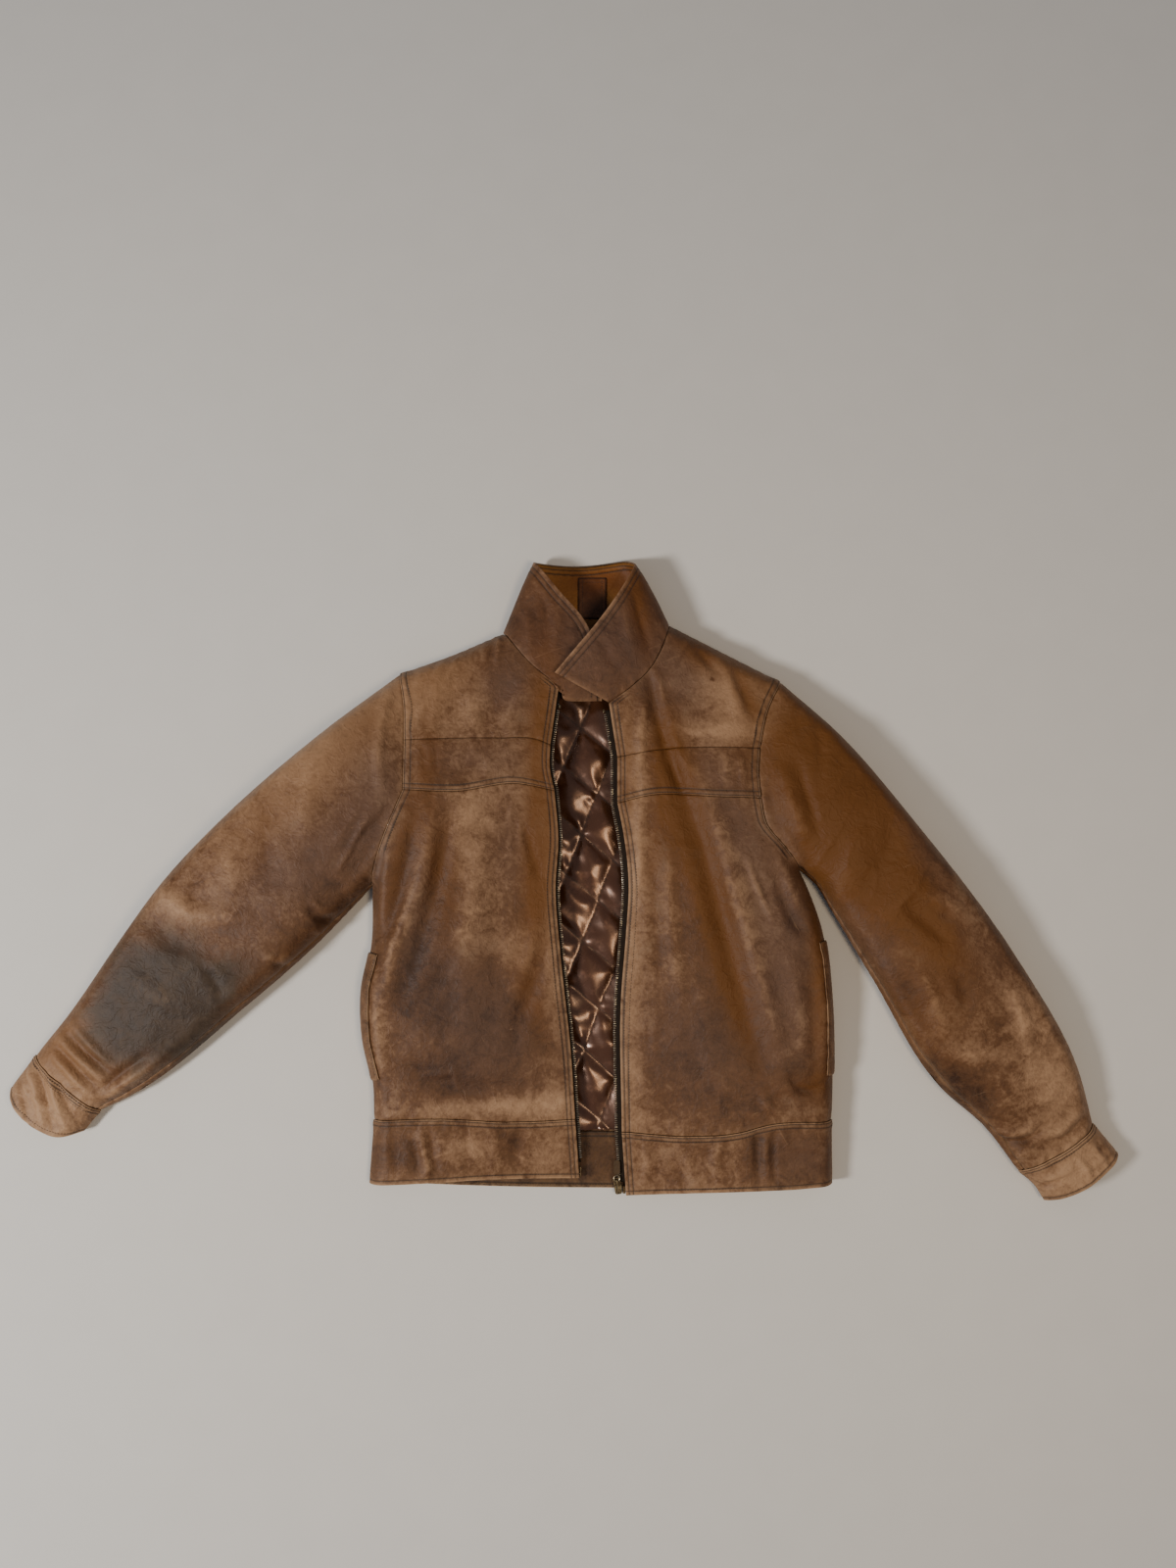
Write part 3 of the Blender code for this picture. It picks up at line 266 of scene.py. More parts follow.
# The main creases, by area. Widths and heights are in millimetres, and a negative height is a trough.
CREASES = {
    "left_body": [
        # width, height, skew, then the plan points that it runs through
        (9, 3.0, 0.5, (-0.145, 0.265), (-0.155, 0.230), (-0.170, 0.190)),
        (7, -2.4, -0.4, (-0.152, 0.232), (-0.162, 0.198), (-0.172, 0.168)),
        (6, 2.2, 0.3, (-0.122, 0.272), (-0.134, 0.254), (-0.146, 0.226)),
        (6, -2.6, 0.3, (-0.086, 0.292), (-0.088, 0.276), (-0.090, 0.256)),
        (5, 2.4, 0.2, (-0.077, 0.296), (-0.079, 0.277), (-0.082, 0.258)),
        (12, 3.0, 0.6, (-0.035, 0.240), (-0.055, 0.215), (-0.075, 0.180)),
        (13, -2.2, 0.3, (-0.060, 0.240), (-0.082, 0.214), (-0.098, 0.176)),
        (11, 1.6, 0.3, (-0.104, 0.246), (-0.112, 0.214), (-0.106, 0.176)),
        (5, -1.5, 0.3, (-0.168, 0.162), (-0.166, 0.146), (-0.167, 0.128)),
        (4, -1.2, 0.3, (-0.150, 0.160), (-0.152, 0.142), (-0.148, 0.120)),
        (5, -1.3, 0.3, (-0.112, 0.160), (-0.116, 0.142), (-0.124, 0.126)),
        (4, 1.2, 0.2, (-0.086, 0.150), (-0.090, 0.134), (-0.092, 0.118)),
        (13, 5.0, 0.6, (-0.155, 0.085), (-0.170, 0.000), (-0.205, -0.090), (-0.215, -0.170)),
        (12, -4.6, -0.3, (-0.130, 0.090), (-0.145, 0.000), (-0.190, -0.150)),
        (9, -2.8, 0.3, (-0.172, 0.090), (-0.190, 0.004), (-0.206, -0.070)),
        (8, 2.8, 0.5, (-0.196, 0.090), (-0.209, 0.020), (-0.219, -0.062)),
        (10, 2.6, 0.6, (-0.223, -0.104), (-0.222, -0.160), (-0.212, -0.236)),
        (4, 1.3, 0.2, (-0.060, 0.097), (-0.062, 0.080), (-0.064, 0.056)),
        (4, 1.2, 0.2, (-0.052, 0.075), (-0.051, 0.058), (-0.050, 0.036)),
        (8, -2.4, 0.5, (-0.047, 0.062), (-0.036, 0.026), (-0.029, -0.004)),
        (12, -3.0, -0.5, (-0.020, -0.072), (-0.030, -0.120), (-0.047, -0.164), (-0.056, -0.212)),
        (11, 2.0, 0.4, (-0.027, -0.030), (-0.042, -0.090), (-0.062, -0.136)),
        (18, 2.4, 0.3, (-0.096, 0.060), (-0.110, -0.020), (-0.118, -0.110), (-0.104, -0.196)),
        (15, -1.8, 0.4, (-0.076, 0.010), (-0.080, -0.070), (-0.078, -0.160)),
        (5, 1.8, 0.2, (-0.166, -0.232), (-0.146, -0.231), (-0.124, -0.226)),
        (4, 1.5, 0.2, (-0.128, -0.216), (-0.126, -0.234), (-0.122, -0.250)),
        (14, -2.2, 0.4, (-0.190, -0.214), (-0.119, -0.250), (-0.040, -0.246)),
        (6, 1.5, 0.4, (-0.066, -0.252), (-0.046, -0.266), (-0.030, -0.262)),
    ],
    "left_band": [
        (6, -2.6, 0.5, (-0.156, -0.288), (-0.154, -0.316), (-0.147, -0.350)),
        (6, -2.0, -0.5, (-0.178, -0.290), (-0.172, -0.320), (-0.166, -0.352)),
        (6, 2.2, 0.3, (-0.168, -0.288), (-0.163, -0.320), (-0.158, -0.352)),
        (8, 1.4, 0.3, (-0.086, -0.289), (-0.079, -0.322), (-0.081, -0.352)),
        (9, -1.6, 0.3, (-0.050, -0.289), (-0.056, -0.320), (-0.049, -0.350)),
        (7, 1.5, -0.4, (-0.204, -0.288), (-0.206, -0.322), (-0.200, -0.354)),
        (6, -1.2, 0.3, (-0.118, -0.288), (-0.112, -0.316), (-0.115, -0.346)),
    ],
    "right_body": [
        (10, -5.0, -0.6, (0.105, 0.250), (0.115, 0.195), (0.145, 0.100)),
        (16, -6.0, -0.6, (0.125, 0.160), (0.160, 0.060), (0.190, -0.050), (0.240, -0.240)),
        (14, 4.4, 0.6, (0.170, 0.110), (0.205, -0.020), (0.255, -0.210)),
        (8, 2.8, 0.4, (0.098, 0.226), (0.092, 0.160), (0.095, 0.110)),
        (9, 2.6, 0.4, (0.096, 0.118), (0.090, 0.053), (0.092, -0.014)),
        (6, 3.0, 0.3, (0.105, 0.255), (0.115, 0.230), (0.120, 0.205)),
        (7, -2.0, 0.3, (0.128, 0.140), (0.136, 0.116), (0.142, 0.096)),
        (10, 2.2, -0.4, (0.125, 0.060), (0.130, -0.050), (0.145, -0.175)),
        (10, -1.6, 0.3, (0.106, 0.040), (0.110, -0.060), (0.114, -0.140)),
        (8, -2.2, 0.4, (0.152, 0.286), (0.170, 0.266), (0.192, 0.240)),
        (9, -2.6, 0.4, (0.203, 0.252), (0.217, 0.220), (0.228, 0.186)),
        (10, 2.0, 0.3, (0.178, 0.272), (0.200, 0.238), (0.208, 0.190)),
        (5, 1.3, 0.3, (0.140, 0.182), (0.160, 0.174), (0.182, 0.180)),
        (4, 1.2, 0.3, (0.176, 0.170), (0.196, 0.184), (0.204, 0.174)),
        (5, 1.4, 0.3, (0.190, 0.150), (0.194, 0.132), (0.190, 0.108)),
        (5, 1.9, 0.3, (0.210, 0.150), (0.212, 0.128), (0.216, 0.104)),
        (5, 2.6, 0.5, (0.215, 0.030), (0.230, -0.015), (0.250, -0.055)),
        (8, 2.2, 0.5, (0.246, 0.046), (0.262, 0.004), (0.276, -0.036)),
        (8, -3.2, 0.3, (0.262, -0.022), (0.272, -0.050), (0.288, -0.070)),
        (9, -2.4, 0.3, (0.250, 0.012), (0.260, -0.030), (0.266, -0.060)),
        (13, 2.6, -0.5, (0.268, -0.080), (0.280, -0.150), (0.286, -0.226)),
        (9, 2.4, 0.5, (0.304, -0.084), (0.306, -0.170), (0.304, -0.240)),
        (6, -3.2, 0.4, (0.262, -0.228), (0.284, -0.250), (0.312, -0.240)),
        (6, 3.2, 0.2, (0.230, -0.255), (0.245, -0.270), (0.260, -0.275)),
        (6, -2.2, 0.2, (0.236, -0.242), (0.250, -0.256), (0.268, -0.262)),
        (15, 1.6, 0.4, (0.160, -0.120), (0.168, -0.190), (0.190, -0.262)),
        (5, 1.2, 0.2, (0.106, -0.170), (0.108, -0.186), (0.106, -0.204)),
    ],
    "right_band": [
        (6, -3.0, 0.5, (0.228, -0.292), (0.227, -0.326), (0.229, -0.360)),
        (6, 2.4, 0.2, (0.238, -0.292), (0.238, -0.324), (0.240, -0.358)),
        (5, -2.4, 0.2, (0.247, -0.292), (0.246, -0.322), (0.250, -0.358)),
        (5, 1.8, 0.3, (0.254, -0.296), (0.260, -0.308), (0.266, -0.318)),
        (5, 1.8, 0.4, (0.260, -0.315), (0.290, -0.315), (0.315, -0.315)),
        (6, -1.8, 0.3, (0.128, -0.332), (0.138, -0.348), (0.146, -0.364)),
        (6, 1.6, 0.3, (0.142, -0.326), (0.152, -0.344), (0.158, -0.362)),
        (8, 1.8, 0.5, (0.095, -0.305), (0.100, -0.335), (0.095, -0.365)),
        (8, 1.8, 0.3, (0.185, -0.300), (0.180, -0.330), (0.185, -0.360)),
    ],
    "left_sleeve": [
        (8, 3.0, 0.5, (-0.208, 0.232), (-0.217, 0.193), (-0.220, 0.146), (-0.214, 0.096)),
        (9, -2.6, 0.4, (-0.200, 0.092), (-0.224, 0.060), (-0.258, 0.036)),
        (5, 2.4, 0.3, (-0.226, 0.078), (-0.246, 0.042), (-0.268, 0.004)),
        (5, 1.8, 0.3, (-0.240, 0.084), (-0.254, 0.062), (-0.270, 0.040)),
        (9, 2.6, 0.3, (-0.206, 0.054), (-0.232, 0.014), (-0.256, -0.024)),
        (6, -3.6, 0.3, (-0.300, -0.035), (-0.285, -0.050), (-0.260, -0.050)),
        (6, 2.6, 0.3, (-0.298, -0.024), (-0.280, -0.038), (-0.264, -0.036)),
        (5, 2.2, 0.3, (-0.296, -0.058), (-0.284, -0.066), (-0.276, -0.060)),
        (6, -2.8, 0.4, (-0.342, -0.094), (-0.326, -0.110), (-0.312, -0.100)),
        (6, 2.4, 0.4, (-0.352, -0.088), (-0.336, -0.096), (-0.318, -0.088)),
        (8, -2.2, 0.4, (-0.396, -0.146), (-0.404, -0.120), (-0.424, -0.096)),
        (14, 3.4, 0.6, (-0.485, -0.010), (-0.445, -0.040), (-0.360, -0.050)),
        (13, -2.4, 0.4, (-0.500, -0.040), (-0.462, -0.074), (-0.402, -0.094)),
        (14, 2.0, 0.4, (-0.520, -0.100), (-0.470, -0.140), (-0.420, -0.156)),
        (7, 4.2, 0.6, (-0.600, -0.185), (-0.565, -0.215), (-0.535, -0.240)),
        (5, -3.2, 0.4, (-0.600, -0.194), (-0.568, -0.228), (-0.544, -0.250)),
        (6, 3.0, 0.5, (-0.606, -0.204), (-0.580, -0.230), (-0.550, -0.260)),
        (6, 3.4, 0.4, (-0.585, -0.165), (-0.550, -0.200), (-0.520, -0.225)),
        (5, -2.8, 0.4, (-0.592, -0.176), (-0.558, -0.208), (-0.528, -0.232)),
        (7, -3.2, 0.4, (-0.548, -0.254), (-0.516, -0.228), (-0.484, -0.206)),
        (7, 3.8, 0.4, (-0.540, -0.260), (-0.505, -0.235), (-0.465, -0.210)),
        (18, 2.2, 0.3, (-0.262, 0.180), (-0.300, 0.110), (-0.306, 0.030)),
        (20, 2.2, -0.3, (-0.360, 0.100), (-0.386, 0.030), (-0.380, -0.060)),
        (15, -2.0, 0.3, (-0.320, 0.120), (-0.346, 0.060), (-0.344, -0.020)),
        (14, -1.8, 0.3, (-0.420, 0.060), (-0.432, 0.000), (-0.426, -0.060)),
    ],
    "right_sleeve": [
        (10, 3.6, 0.6, (0.256, 0.136), (0.268, 0.090), (0.286, 0.040)),
        (5, -2.8, 0.3, (0.243, 0.118), (0.246, 0.088), (0.256, 0.056)),
        (8, -3.0, 0.3, (0.274, 0.148), (0.290, 0.090), (0.304, 0.040)),
        (6, 2.4, 0.4, (0.262, 0.056), (0.276, 0.030), (0.296, 0.006)),
        (12, 2.6, 0.5, (0.408, -0.012), (0.446, -0.028), (0.486, -0.058)),
        (11, -2.8, 0.5, (0.396, -0.030), (0.428, -0.056), (0.452, -0.080)),
        (11, -2.6, 0.5, (0.388, -0.112), (0.404, -0.142), (0.428, -0.180)),
        (11, 2.8, 0.4, (0.412, -0.104), (0.434, -0.148), (0.446, -0.186)),
        (12, -2.4, 0.4, (0.452, -0.100), (0.466, -0.132), (0.470, -0.170)),
        (12, 2.6, 0.4, (0.520, -0.118), (0.536, -0.164), (0.546, -0.212)),
        (12, 2.2, 0.4, (0.440, -0.196), (0.474, -0.206), (0.508, -0.196)),
        (16, -2.6, 0.5, (0.416, -0.214), (0.462, -0.240), (0.518, -0.262)),
        (7, 3.6, 0.6, (0.478, -0.282), (0.506, -0.298), (0.534, -0.298), (0.562, -0.278)),
        (6, -3.8, 0.4, (0.484, -0.294), (0.514, -0.310), (0.540, -0.308), (0.566, -0.292)),
        (6, -3.6, 0.3, (0.552, -0.314), (0.586, -0.306), (0.622, -0.274)),
        (7, 3.4, 0.6, (0.552, -0.300), (0.582, -0.294), (0.612, -0.264)),
        (6, 2.4, 0.4, (0.506, -0.318), (0.530, -0.326), (0.556, -0.318)),
        (9, 2.2, 0.4, (0.540, -0.262), (0.566, -0.256), (0.590, -0.236)),
        (14, 2.0, 0.6, (0.354, 0.063), (0.334, 0.019), (0.322, -0.030)),
        (18, 2.2, 0.3, (0.430, 0.054), (0.404, 0.000), (0.372, -0.056)),
        (16, -2.0, 0.3, (0.396, 0.070), (0.372, 0.020), (0.350, -0.030)),
        (9, -1.6, 0.3, (0.300, 0.200), (0.306, 0.150), (0.300, 0.096)),
    ],
    "left_cuff": [
        (5, 3.8, 0.5, (-0.640, -0.216), (-0.622, -0.250), (-0.612, -0.296)),
        (4, -3.8, 0.4, (-0.626, -0.214), (-0.612, -0.248), (-0.598, -0.300)),
        (5, 3.8, 0.4, (-0.608, -0.226), (-0.596, -0.262), (-0.582, -0.300)),
        (4, -3.2, 0.4, (-0.596, -0.236), (-0.584, -0.264), (-0.570, -0.292)),
        (4, -2.8, 0.4, (-0.650, -0.232), (-0.636, -0.262), (-0.630, -0.290)),
        (4, 2.6, 0.4, (-0.640, -0.250), (-0.616, -0.262), (-0.594, -0.284)),
    ],
    "right_cuff": [
        (4, -3.4, 0.3, (0.552, -0.366), (0.568, -0.360), (0.588, -0.346)),
        (5, 3.2, 0.4, (0.560, -0.352), (0.580, -0.348), (0.600, -0.334)),
        (5, 2.6, 0.4, (0.600, -0.322), (0.612, -0.340), (0.620, -0.356)),
        (5, -2.4, 0.4, (0.622, -0.300), (0.634, -0.318), (0.646, -0.336)),
        (4, 2.4, 0.3, (0.604, -0.344), (0.624, -0.334), (0.640, -0.322)),
    ],
    "collar": [
        (4, -2.2, 0.4, (-0.026, 0.346), (-0.022, 0.322), (-0.026, 0.292)),
        (6, 1.9, 0.4, (-0.012, 0.335), (-0.008, 0.305), (-0.014, 0.272)),
        (6, 1.6, -0.4, (-0.046, 0.330), (-0.040, 0.300), (-0.042, 0.270)),
        (6, -2.4, 0.5, (0.082, 0.348), (0.091, 0.312), (0.104, 0.270)),
        (8, 2.2, 0.4, (0.070, 0.330), (0.076, 0.298), (0.088, 0.262)),
        (6, -1.6, 0.3, (0.044, 0.290), (0.056, 0.262), (0.074, 0.240)),
    ],
    # The back lies on the floor, so its creases are only seen when the jacket is turned over.
    "back": [
        (12, 1.2, 0.4, (-0.170, 0.210), (-0.150, 0.120), (-0.160, 0.020)),
        (11, 1.1, 0.4, (0.210, 0.200), (0.196, 0.110), (0.220, 0.010)),
        (16, 1.2, 0.3, (-0.060, 0.180), (-0.020, 0.060), (-0.050, -0.080)),
        (14, 1.1, 0.5, (0.120, 0.200), (0.090, 0.060), (0.130, -0.080)),
        (12, 1.2, 0.4, (-0.200, -0.120), (-0.120, -0.180), (-0.060, -0.276)),
        (13, 1.2, 0.4, (0.300, -0.110), (0.220, -0.180), (0.170, -0.280)),
        (10, 0.9, 0.4, (0.010, -0.120), (0.060, -0.180), (0.050, -0.270)),
        (9, 0.9, 0.4, (-0.270, 0.080), (-0.320, 0.040), (-0.330, -0.040)),
        (9, 0.9, 0.4, (0.330, 0.060), (0.370, 0.000), (0.362, -0.060)),
        (10, 1.1, 0.4, (-0.470, -0.080), (-0.480, -0.140), (-0.450, -0.190)),
        (10, 1.1, 0.4, (0.480, -0.100), (0.500, -0.180), (0.470, -0.240)),
    ],
}

# Patches of colour. Each lies round (x, y) with two radii in metres, the first turned by the angle in degrees.
TINTS = {
    # Paler, or darker where the amount is negative: partly rubbed wear, partly painted light on slopes that face the
    # key light, and painted shade in troughs and on slopes that face away from it.
    "tone": [
        # x, y, radius along, radius across, degrees, amount
        (-0.290, 0.135, 0.130, 0.045, 41, 1.20),
        (-0.235, 0.195, 0.060, 0.026, 38, 0.70),
        (-0.310, 0.153, 0.150, 0.012, 41, 0.80),
        (-0.400, 0.040, 0.090, 0.045, 44, 0.60),
        (-0.300, 0.010, 0.100, 0.050, 40, -0.25),
        (-0.300, -0.072, 0.090, 0.026, 40, -1.10),
        (-0.228, 0.030, 0.030, 0.050, 40, -0.60),
        (-0.445, -0.040, 0.055, 0.022, -32, 0.85),
        (-0.500, -0.225, 0.050, 0.014, 36, 0.45),
        (-0.585, -0.205, 0.050, 0.045, 40, 1.10),
        (-0.610, -0.265, 0.070, 0.050, 50, 1.90),
        (-0.160, 0.235, 0.055, 0.030, 20, 1.80),
        (-0.110, 0.205, 0.070, 0.034, 30, 1.05),
        (-0.070, 0.240, 0.030, 0.034, 60, -1.10),
        (-0.045, 0.210, 0.022, 0.018, 50, 0.30),
        (-0.110, 0.130, 0.070, 0.022, 0, 0.25),
        (-0.150, 0.120, 0.014, 0.050, 0, -0.60),
        (-0.108, 0.075, 0.050, 0.026, 10, 0.95),
        (-0.085, 0.010, 0.050, 0.060, 70, 0.70),
        (-0.100, -0.060, 0.034, 0.024, 20, 0.80),
        (-0.062, -0.082, 0.030, 0.026, -30, 0.90),
        (-0.040, -0.110, 0.030, 0.046, 80, 0.50),
        (-0.145, 0.000, 0.018, 0.070, 8, -0.95),
        (-0.190, 0.020, 0.012, 0.080, -12, -0.80),
        (-0.150, -0.120, 0.060, 0.060, 0, -1.25),
        (-0.090, -0.190, 0.070, 0.050, 0, -1.10),
        (-0.150, -0.225, 0.060, 0.024, 0, -0.55),
        (-0.214, -0.170, 0.016, 0.080, 0, 0.55),
        (-0.060, -0.268, 0.080, 0.014, 0, 1.90),
        (-0.170, -0.274, 0.060, 0.010, 0, 0.60),
        (-0.110, -0.315, 0.050, 0.022, 0, 0.95),
        (-0.030, -0.325, 0.034, 0.030, 0, 0.95),
        (-0.060, -0.312, 0.024, 0.020, 0, -0.80),
        (-0.180, -0.330, 0.050, 0.026, 0, -0.35),
        (-0.012, 0.020, 0.012, 0.250, 0, 1.15),
        (-0.030, 0.120, 0.020, 0.060, 0, 0.90),
        (0.072, 0.150, 0.012, 0.070, 0, 0.85),
        (0.086, 0.040, 0.016, 0.100, 0, 1.10),
        (0.080, -0.110, 0.014, 0.120, 0, 1.00),
        (0.082, -0.240, 0.018, 0.060, 0, 0.85),
        (0.096, 0.125, 0.012, 0.030, 0, 0.70),
        (0.100, 0.230, 0.020, 0.050, -20, -0.80),
        (0.145, 0.245, 0.034, 0.050, 10, -0.20),
        (0.200, 0.225, 0.060, 0.034, -30, 2.00),
        (0.190, 0.175, 0.070, 0.016, 0, 1.80),
        (0.130, 0.120, 0.022, 0.050, 10, -0.90),
        (0.205, 0.128, 0.028, 0.030, 0, 0.30),
        (0.178, 0.066, 0.040, 0.050, -70, -0.50),
        (0.145, 0.060, 0.016, 0.090, 12, -0.80),
        (0.170, -0.040, 0.024, 0.100, 14, -1.50),
        (0.210, -0.160, 0.022, 0.080, 14, -0.60),
        (0.220, -0.010, 0.026, 0.060, 14, 0.10),
        (0.262, -0.130, 0.040, 0.090, 0, -0.25),
        (0.160, -0.190, 0.060, 0.050, 0, -1.05),
        (0.190, -0.262, 0.070, 0.020, 0, -0.30),
        (0.110, -0.285, 0.050, 0.016, 0, 0.80),
        (0.280, -0.235, 0.040, 0.024, 0, -1.00),
        (0.276, -0.050, 0.018, 0.030, 0, -1.00),
        (0.150, -0.335, 0.060, 0.018, 0, 0.20),
        (0.095, -0.345, 0.026, 0.026, 0, 0.30),
        (0.285, -0.330, 0.060, 0.024, 0, -0.50),
        (0.228, -0.326, 0.014, 0.040, 0, -0.55),
        (0.260, 0.090, 0.018, 0.046, 18, 0.70),
        (0.300, 0.130, 0.070, 0.050, -52, -1.45),
        (0.350, 0.020, 0.090, 0.050, -52, -1.65),
        (0.400, 0.050, 0.090, 0.018, -54, -0.10),
        (0.330, -0.040, 0.080, 0.016, -54, 0.25),
        (0.420, -0.050, 0.034, 0.022, -40, -0.90),
        (0.400, -0.135, 0.030, 0.026, 0, -0.90),
        (0.460, -0.125, 0.026, 0.020, 0, -0.60),
        (0.482, -0.058, 0.050, 0.022, -54, 0.45),
        (0.434, -0.150, 0.026, 0.016, -60, 0.50),
        (0.540, -0.160, 0.050, 0.026, -60, 1.10),
        (0.475, -0.205, 0.030, 0.016, 0, 0.45),
        (0.455, -0.245, 0.070, 0.030, -40, -1.10),
        (0.585, -0.240, 0.050, 0.040, -50, 1.80),
        (0.545, -0.290, 0.040, 0.018, -20, 0.80),
        (0.610, -0.340, 0.070, 0.044, 35, 1.70),
        (0.040, 0.300, 0.060, 0.050, 0, -0.35),
        (-0.012, 0.300, 0.026, 0.030, 30, -0.60),
        (0.080, 0.280, 0.020, 0.050, 20, -0.90),
        (0.179, 0.238, 0.003, 0.002, 0, -3.00),
    ],
    # A dark grey-brown stain.
    "stain": [
        (-0.465, -0.105, 0.060, 0.044, 42, 1.00),
        (-0.515, -0.155, 0.060, 0.046, 42, 1.10),
        (-0.450, -0.165, 0.070, 0.028, 36, 1.00),
        (-0.400, -0.120, 0.050, 0.026, 30, 0.80),
        (-0.520, -0.080, 0.040, 0.030, 50, 0.50),
        (-0.540, -0.205, 0.030, 0.030, 40, 0.35),
        (-0.475, -0.135, 0.040, 0.030, 42, 0.60),
        (-0.440, -0.195, 0.060, 0.022, 40, 0.90),
    ],
    # Orange-brown: painted warm light, on slopes and in troughs that face away from the key light.
    "painted_warm_light": [
        (-0.022, 0.120, 0.020, 0.150, 0, 1.50),
        (-0.034, -0.010, 0.016, 0.080, 0, 0.90),
        (-0.150, 0.240, 0.050, 0.030, 20, 0.60),
        (-0.160, 0.140, 0.016, 0.080, 0, 0.50),
        (-0.145, 0.010, 0.022, 0.080, 8, 0.70),
        (-0.195, 0.020, 0.012, 0.090, -12, 0.70),
        (-0.040, -0.140, 0.016, 0.060, 14, 0.60),
        (-0.240, 0.180, 0.060, 0.030, 40, 0.50),
        (-0.340, 0.080, 0.100, 0.040, 42, 0.50),
        (-0.300, -0.080, 0.080, 0.020, 40, 0.40),
        (-0.585, -0.205, 0.050, 0.040, 40, 0.80),
        (0.072, 0.120, 0.016, 0.090, 0, 0.70),
        (0.130, 0.130, 0.022, 0.080, 10, 1.10),
        (0.160, 0.030, 0.024, 0.110, 14, 1.50),
        (0.200, -0.120, 0.022, 0.100, 14, 1.20),
        (0.114, 0.030, 0.016, 0.080, 0, 0.60),
        (0.200, 0.260, 0.070, 0.018, -28, 0.70),
        (0.160, 0.265, 0.030, 0.014, -45, 0.50),
        (0.220, 0.215, 0.030, 0.012, -60, 0.80),
        (0.302, -0.110, 0.012, 0.120, 0, 0.90),
        (0.290, -0.240, 0.030, 0.016, 0, 0.70),
        (0.310, 0.120, 0.100, 0.060, -52, 1.70),
        (0.350, 0.020, 0.080, 0.050, -54, 1.70),
        (0.430, -0.060, 0.070, 0.030, -54, 1.20),
        (0.420, -0.160, 0.050, 0.050, -50, 0.60),
        (0.050, 0.370, 0.060, 0.022, 0, 1.20),
        (0.089, 0.330, 0.012, 0.060, 10, 1.00),
    ],
    # Purplish brown: painted cool light, on slopes that face the key light.
    "painted_cool_light": [
        (-0.300, 0.020, 0.120, 0.045, 42, 1.00),
        (-0.225, 0.110, 0.030, 0.070, 10, 0.80),
        (-0.165, 0.010, 0.012, 0.090, -12, 0.90),
        (-0.215, 0.010, 0.012, 0.090, -10, 0.80),
        (-0.070, 0.225, 0.030, 0.040, 50, 0.80),
        (-0.090, 0.140, 0.060, 0.026, 0, 0.60),
        (-0.060, 0.040, 0.030, 0.060, 0, 0.50),
        (-0.130, -0.100, 0.060, 0.080, 0, 0.50),
        (-0.090, -0.190, 0.080, 0.070, 0, 0.70),
        (0.040, 0.280, 0.100, 0.060, 0, 0.90),
        (0.140, 0.240, 0.040, 0.050, 0, 0.90),
        (0.170, 0.120, 0.030, 0.040, 0, 0.70),
        (0.210, 0.050, 0.040, 0.060, 14, 0.80),
        (0.250, -0.090, 0.050, 0.130, 8, 1.00),
        (0.160, -0.190, 0.080, 0.070, 0, 0.60),
        (0.290, -0.330, 0.050, 0.030, 0, 0.60),
        (0.262, 0.085, 0.022, 0.050, 18, 1.00),
        (0.330, -0.040, 0.100, 0.022, -54, 1.00),
        (0.410, 0.050, 0.090, 0.020, -54, 0.60),
        (0.480, -0.080, 0.070, 0.030, -54, 0.40),
    ],
}

# ------------------------------------------------------------------------------------------------- lines
def spline(points, steps=12):
    """A smooth line through the points, as many short straight steps."""
    p = np.array(points, float)
    gaps = np.linalg.norm(np.diff(p, axis=0), axis=1)[:, None]
    slopes = np.diff(p, axis=0) / gaps
    between = (slopes[:-1] * gaps[1:] + slopes[1:] * gaps[:-1]) / (gaps[1:] + gaps[:-1])
    tangents = np.vstack([slopes[:1], between, slopes[-1:]])
    line = []
    for start, end, gap, out, back in zip(p, p[1:], gaps, tangents, tangents[1:]):
        for t in np.linspace(0.0, 1.0, steps, endpoint=False):
            line.append(
                (2 * t**3 - 3 * t**2 + 1) * start
                + (t**3 - 2 * t**2 + t) * gap * out
                + (3 * t**2 - 2 * t**3) * end
                + (t**3 - t**2) * gap * back
            )
    return np.array(line + [p[-1]])


def reach_of(line):
    """How far along the line each of its points lies, in metres."""
    return np.concatenate([[0.0], np.cumsum(np.linalg.norm(np.diff(line, axis=0), axis=1))])


def at_reach(line, reach):
    """The points that lie this far along the line."""
    own = reach_of(line)
    return np.stack([np.interp(reach, own, column) for column in line.T], axis=-1)


def joined(*lines):
    """One line of several, each of which starts where the last one ends."""
    return np.vstack([lines[0]] + [line[1:] for line in lines[1:]])


def plan_line(side, *names, steps=12):
    """These lines of the plan, smoothed and joined end to end."""
    return joined(*(spline(PLAN[side][name], steps) for name in names))


def unit(vectors):
    return vectors / np.maximum(np.linalg.norm(vectors, axis=-1, keepdims=True), 1e-12)


def extended(line, at_start, at_end):
    """The line with a straight piece added at each end."""
    start = line[0] + unit(line[0] - line[1]) * at_start
    end = line[-1] + unit(line[-1] - line[-2]) * at_end
    return np.vstack([start, line, end])


def upper_outline(side):
    line = joined(plan_line(side, "shoulder", steps=5)[::-1], plan_line(side, "sleeve_upper", "cuff_upper", steps=5))
    return extended(line, PAST_NECK, PAST_HEM)


def lower_outline(side):
    down_body = plan_line(side, "side", "side_band", steps=5)[::-1]
    return extended(joined(down_body, plan_line(side, "sleeve_lower", "cuff_lower", steps=5)), PAST_HEM, PAST_HEM)


ARMHOLE = ("armhole_yoke", "armhole_band", "armhole_low")
OUTLINES = [make(side) for make in (upper_outline, lower_outline) for side in SIDES]
ARMHOLES = [plan_line(side, *ARMHOLE, steps=5) for side in SIDES]


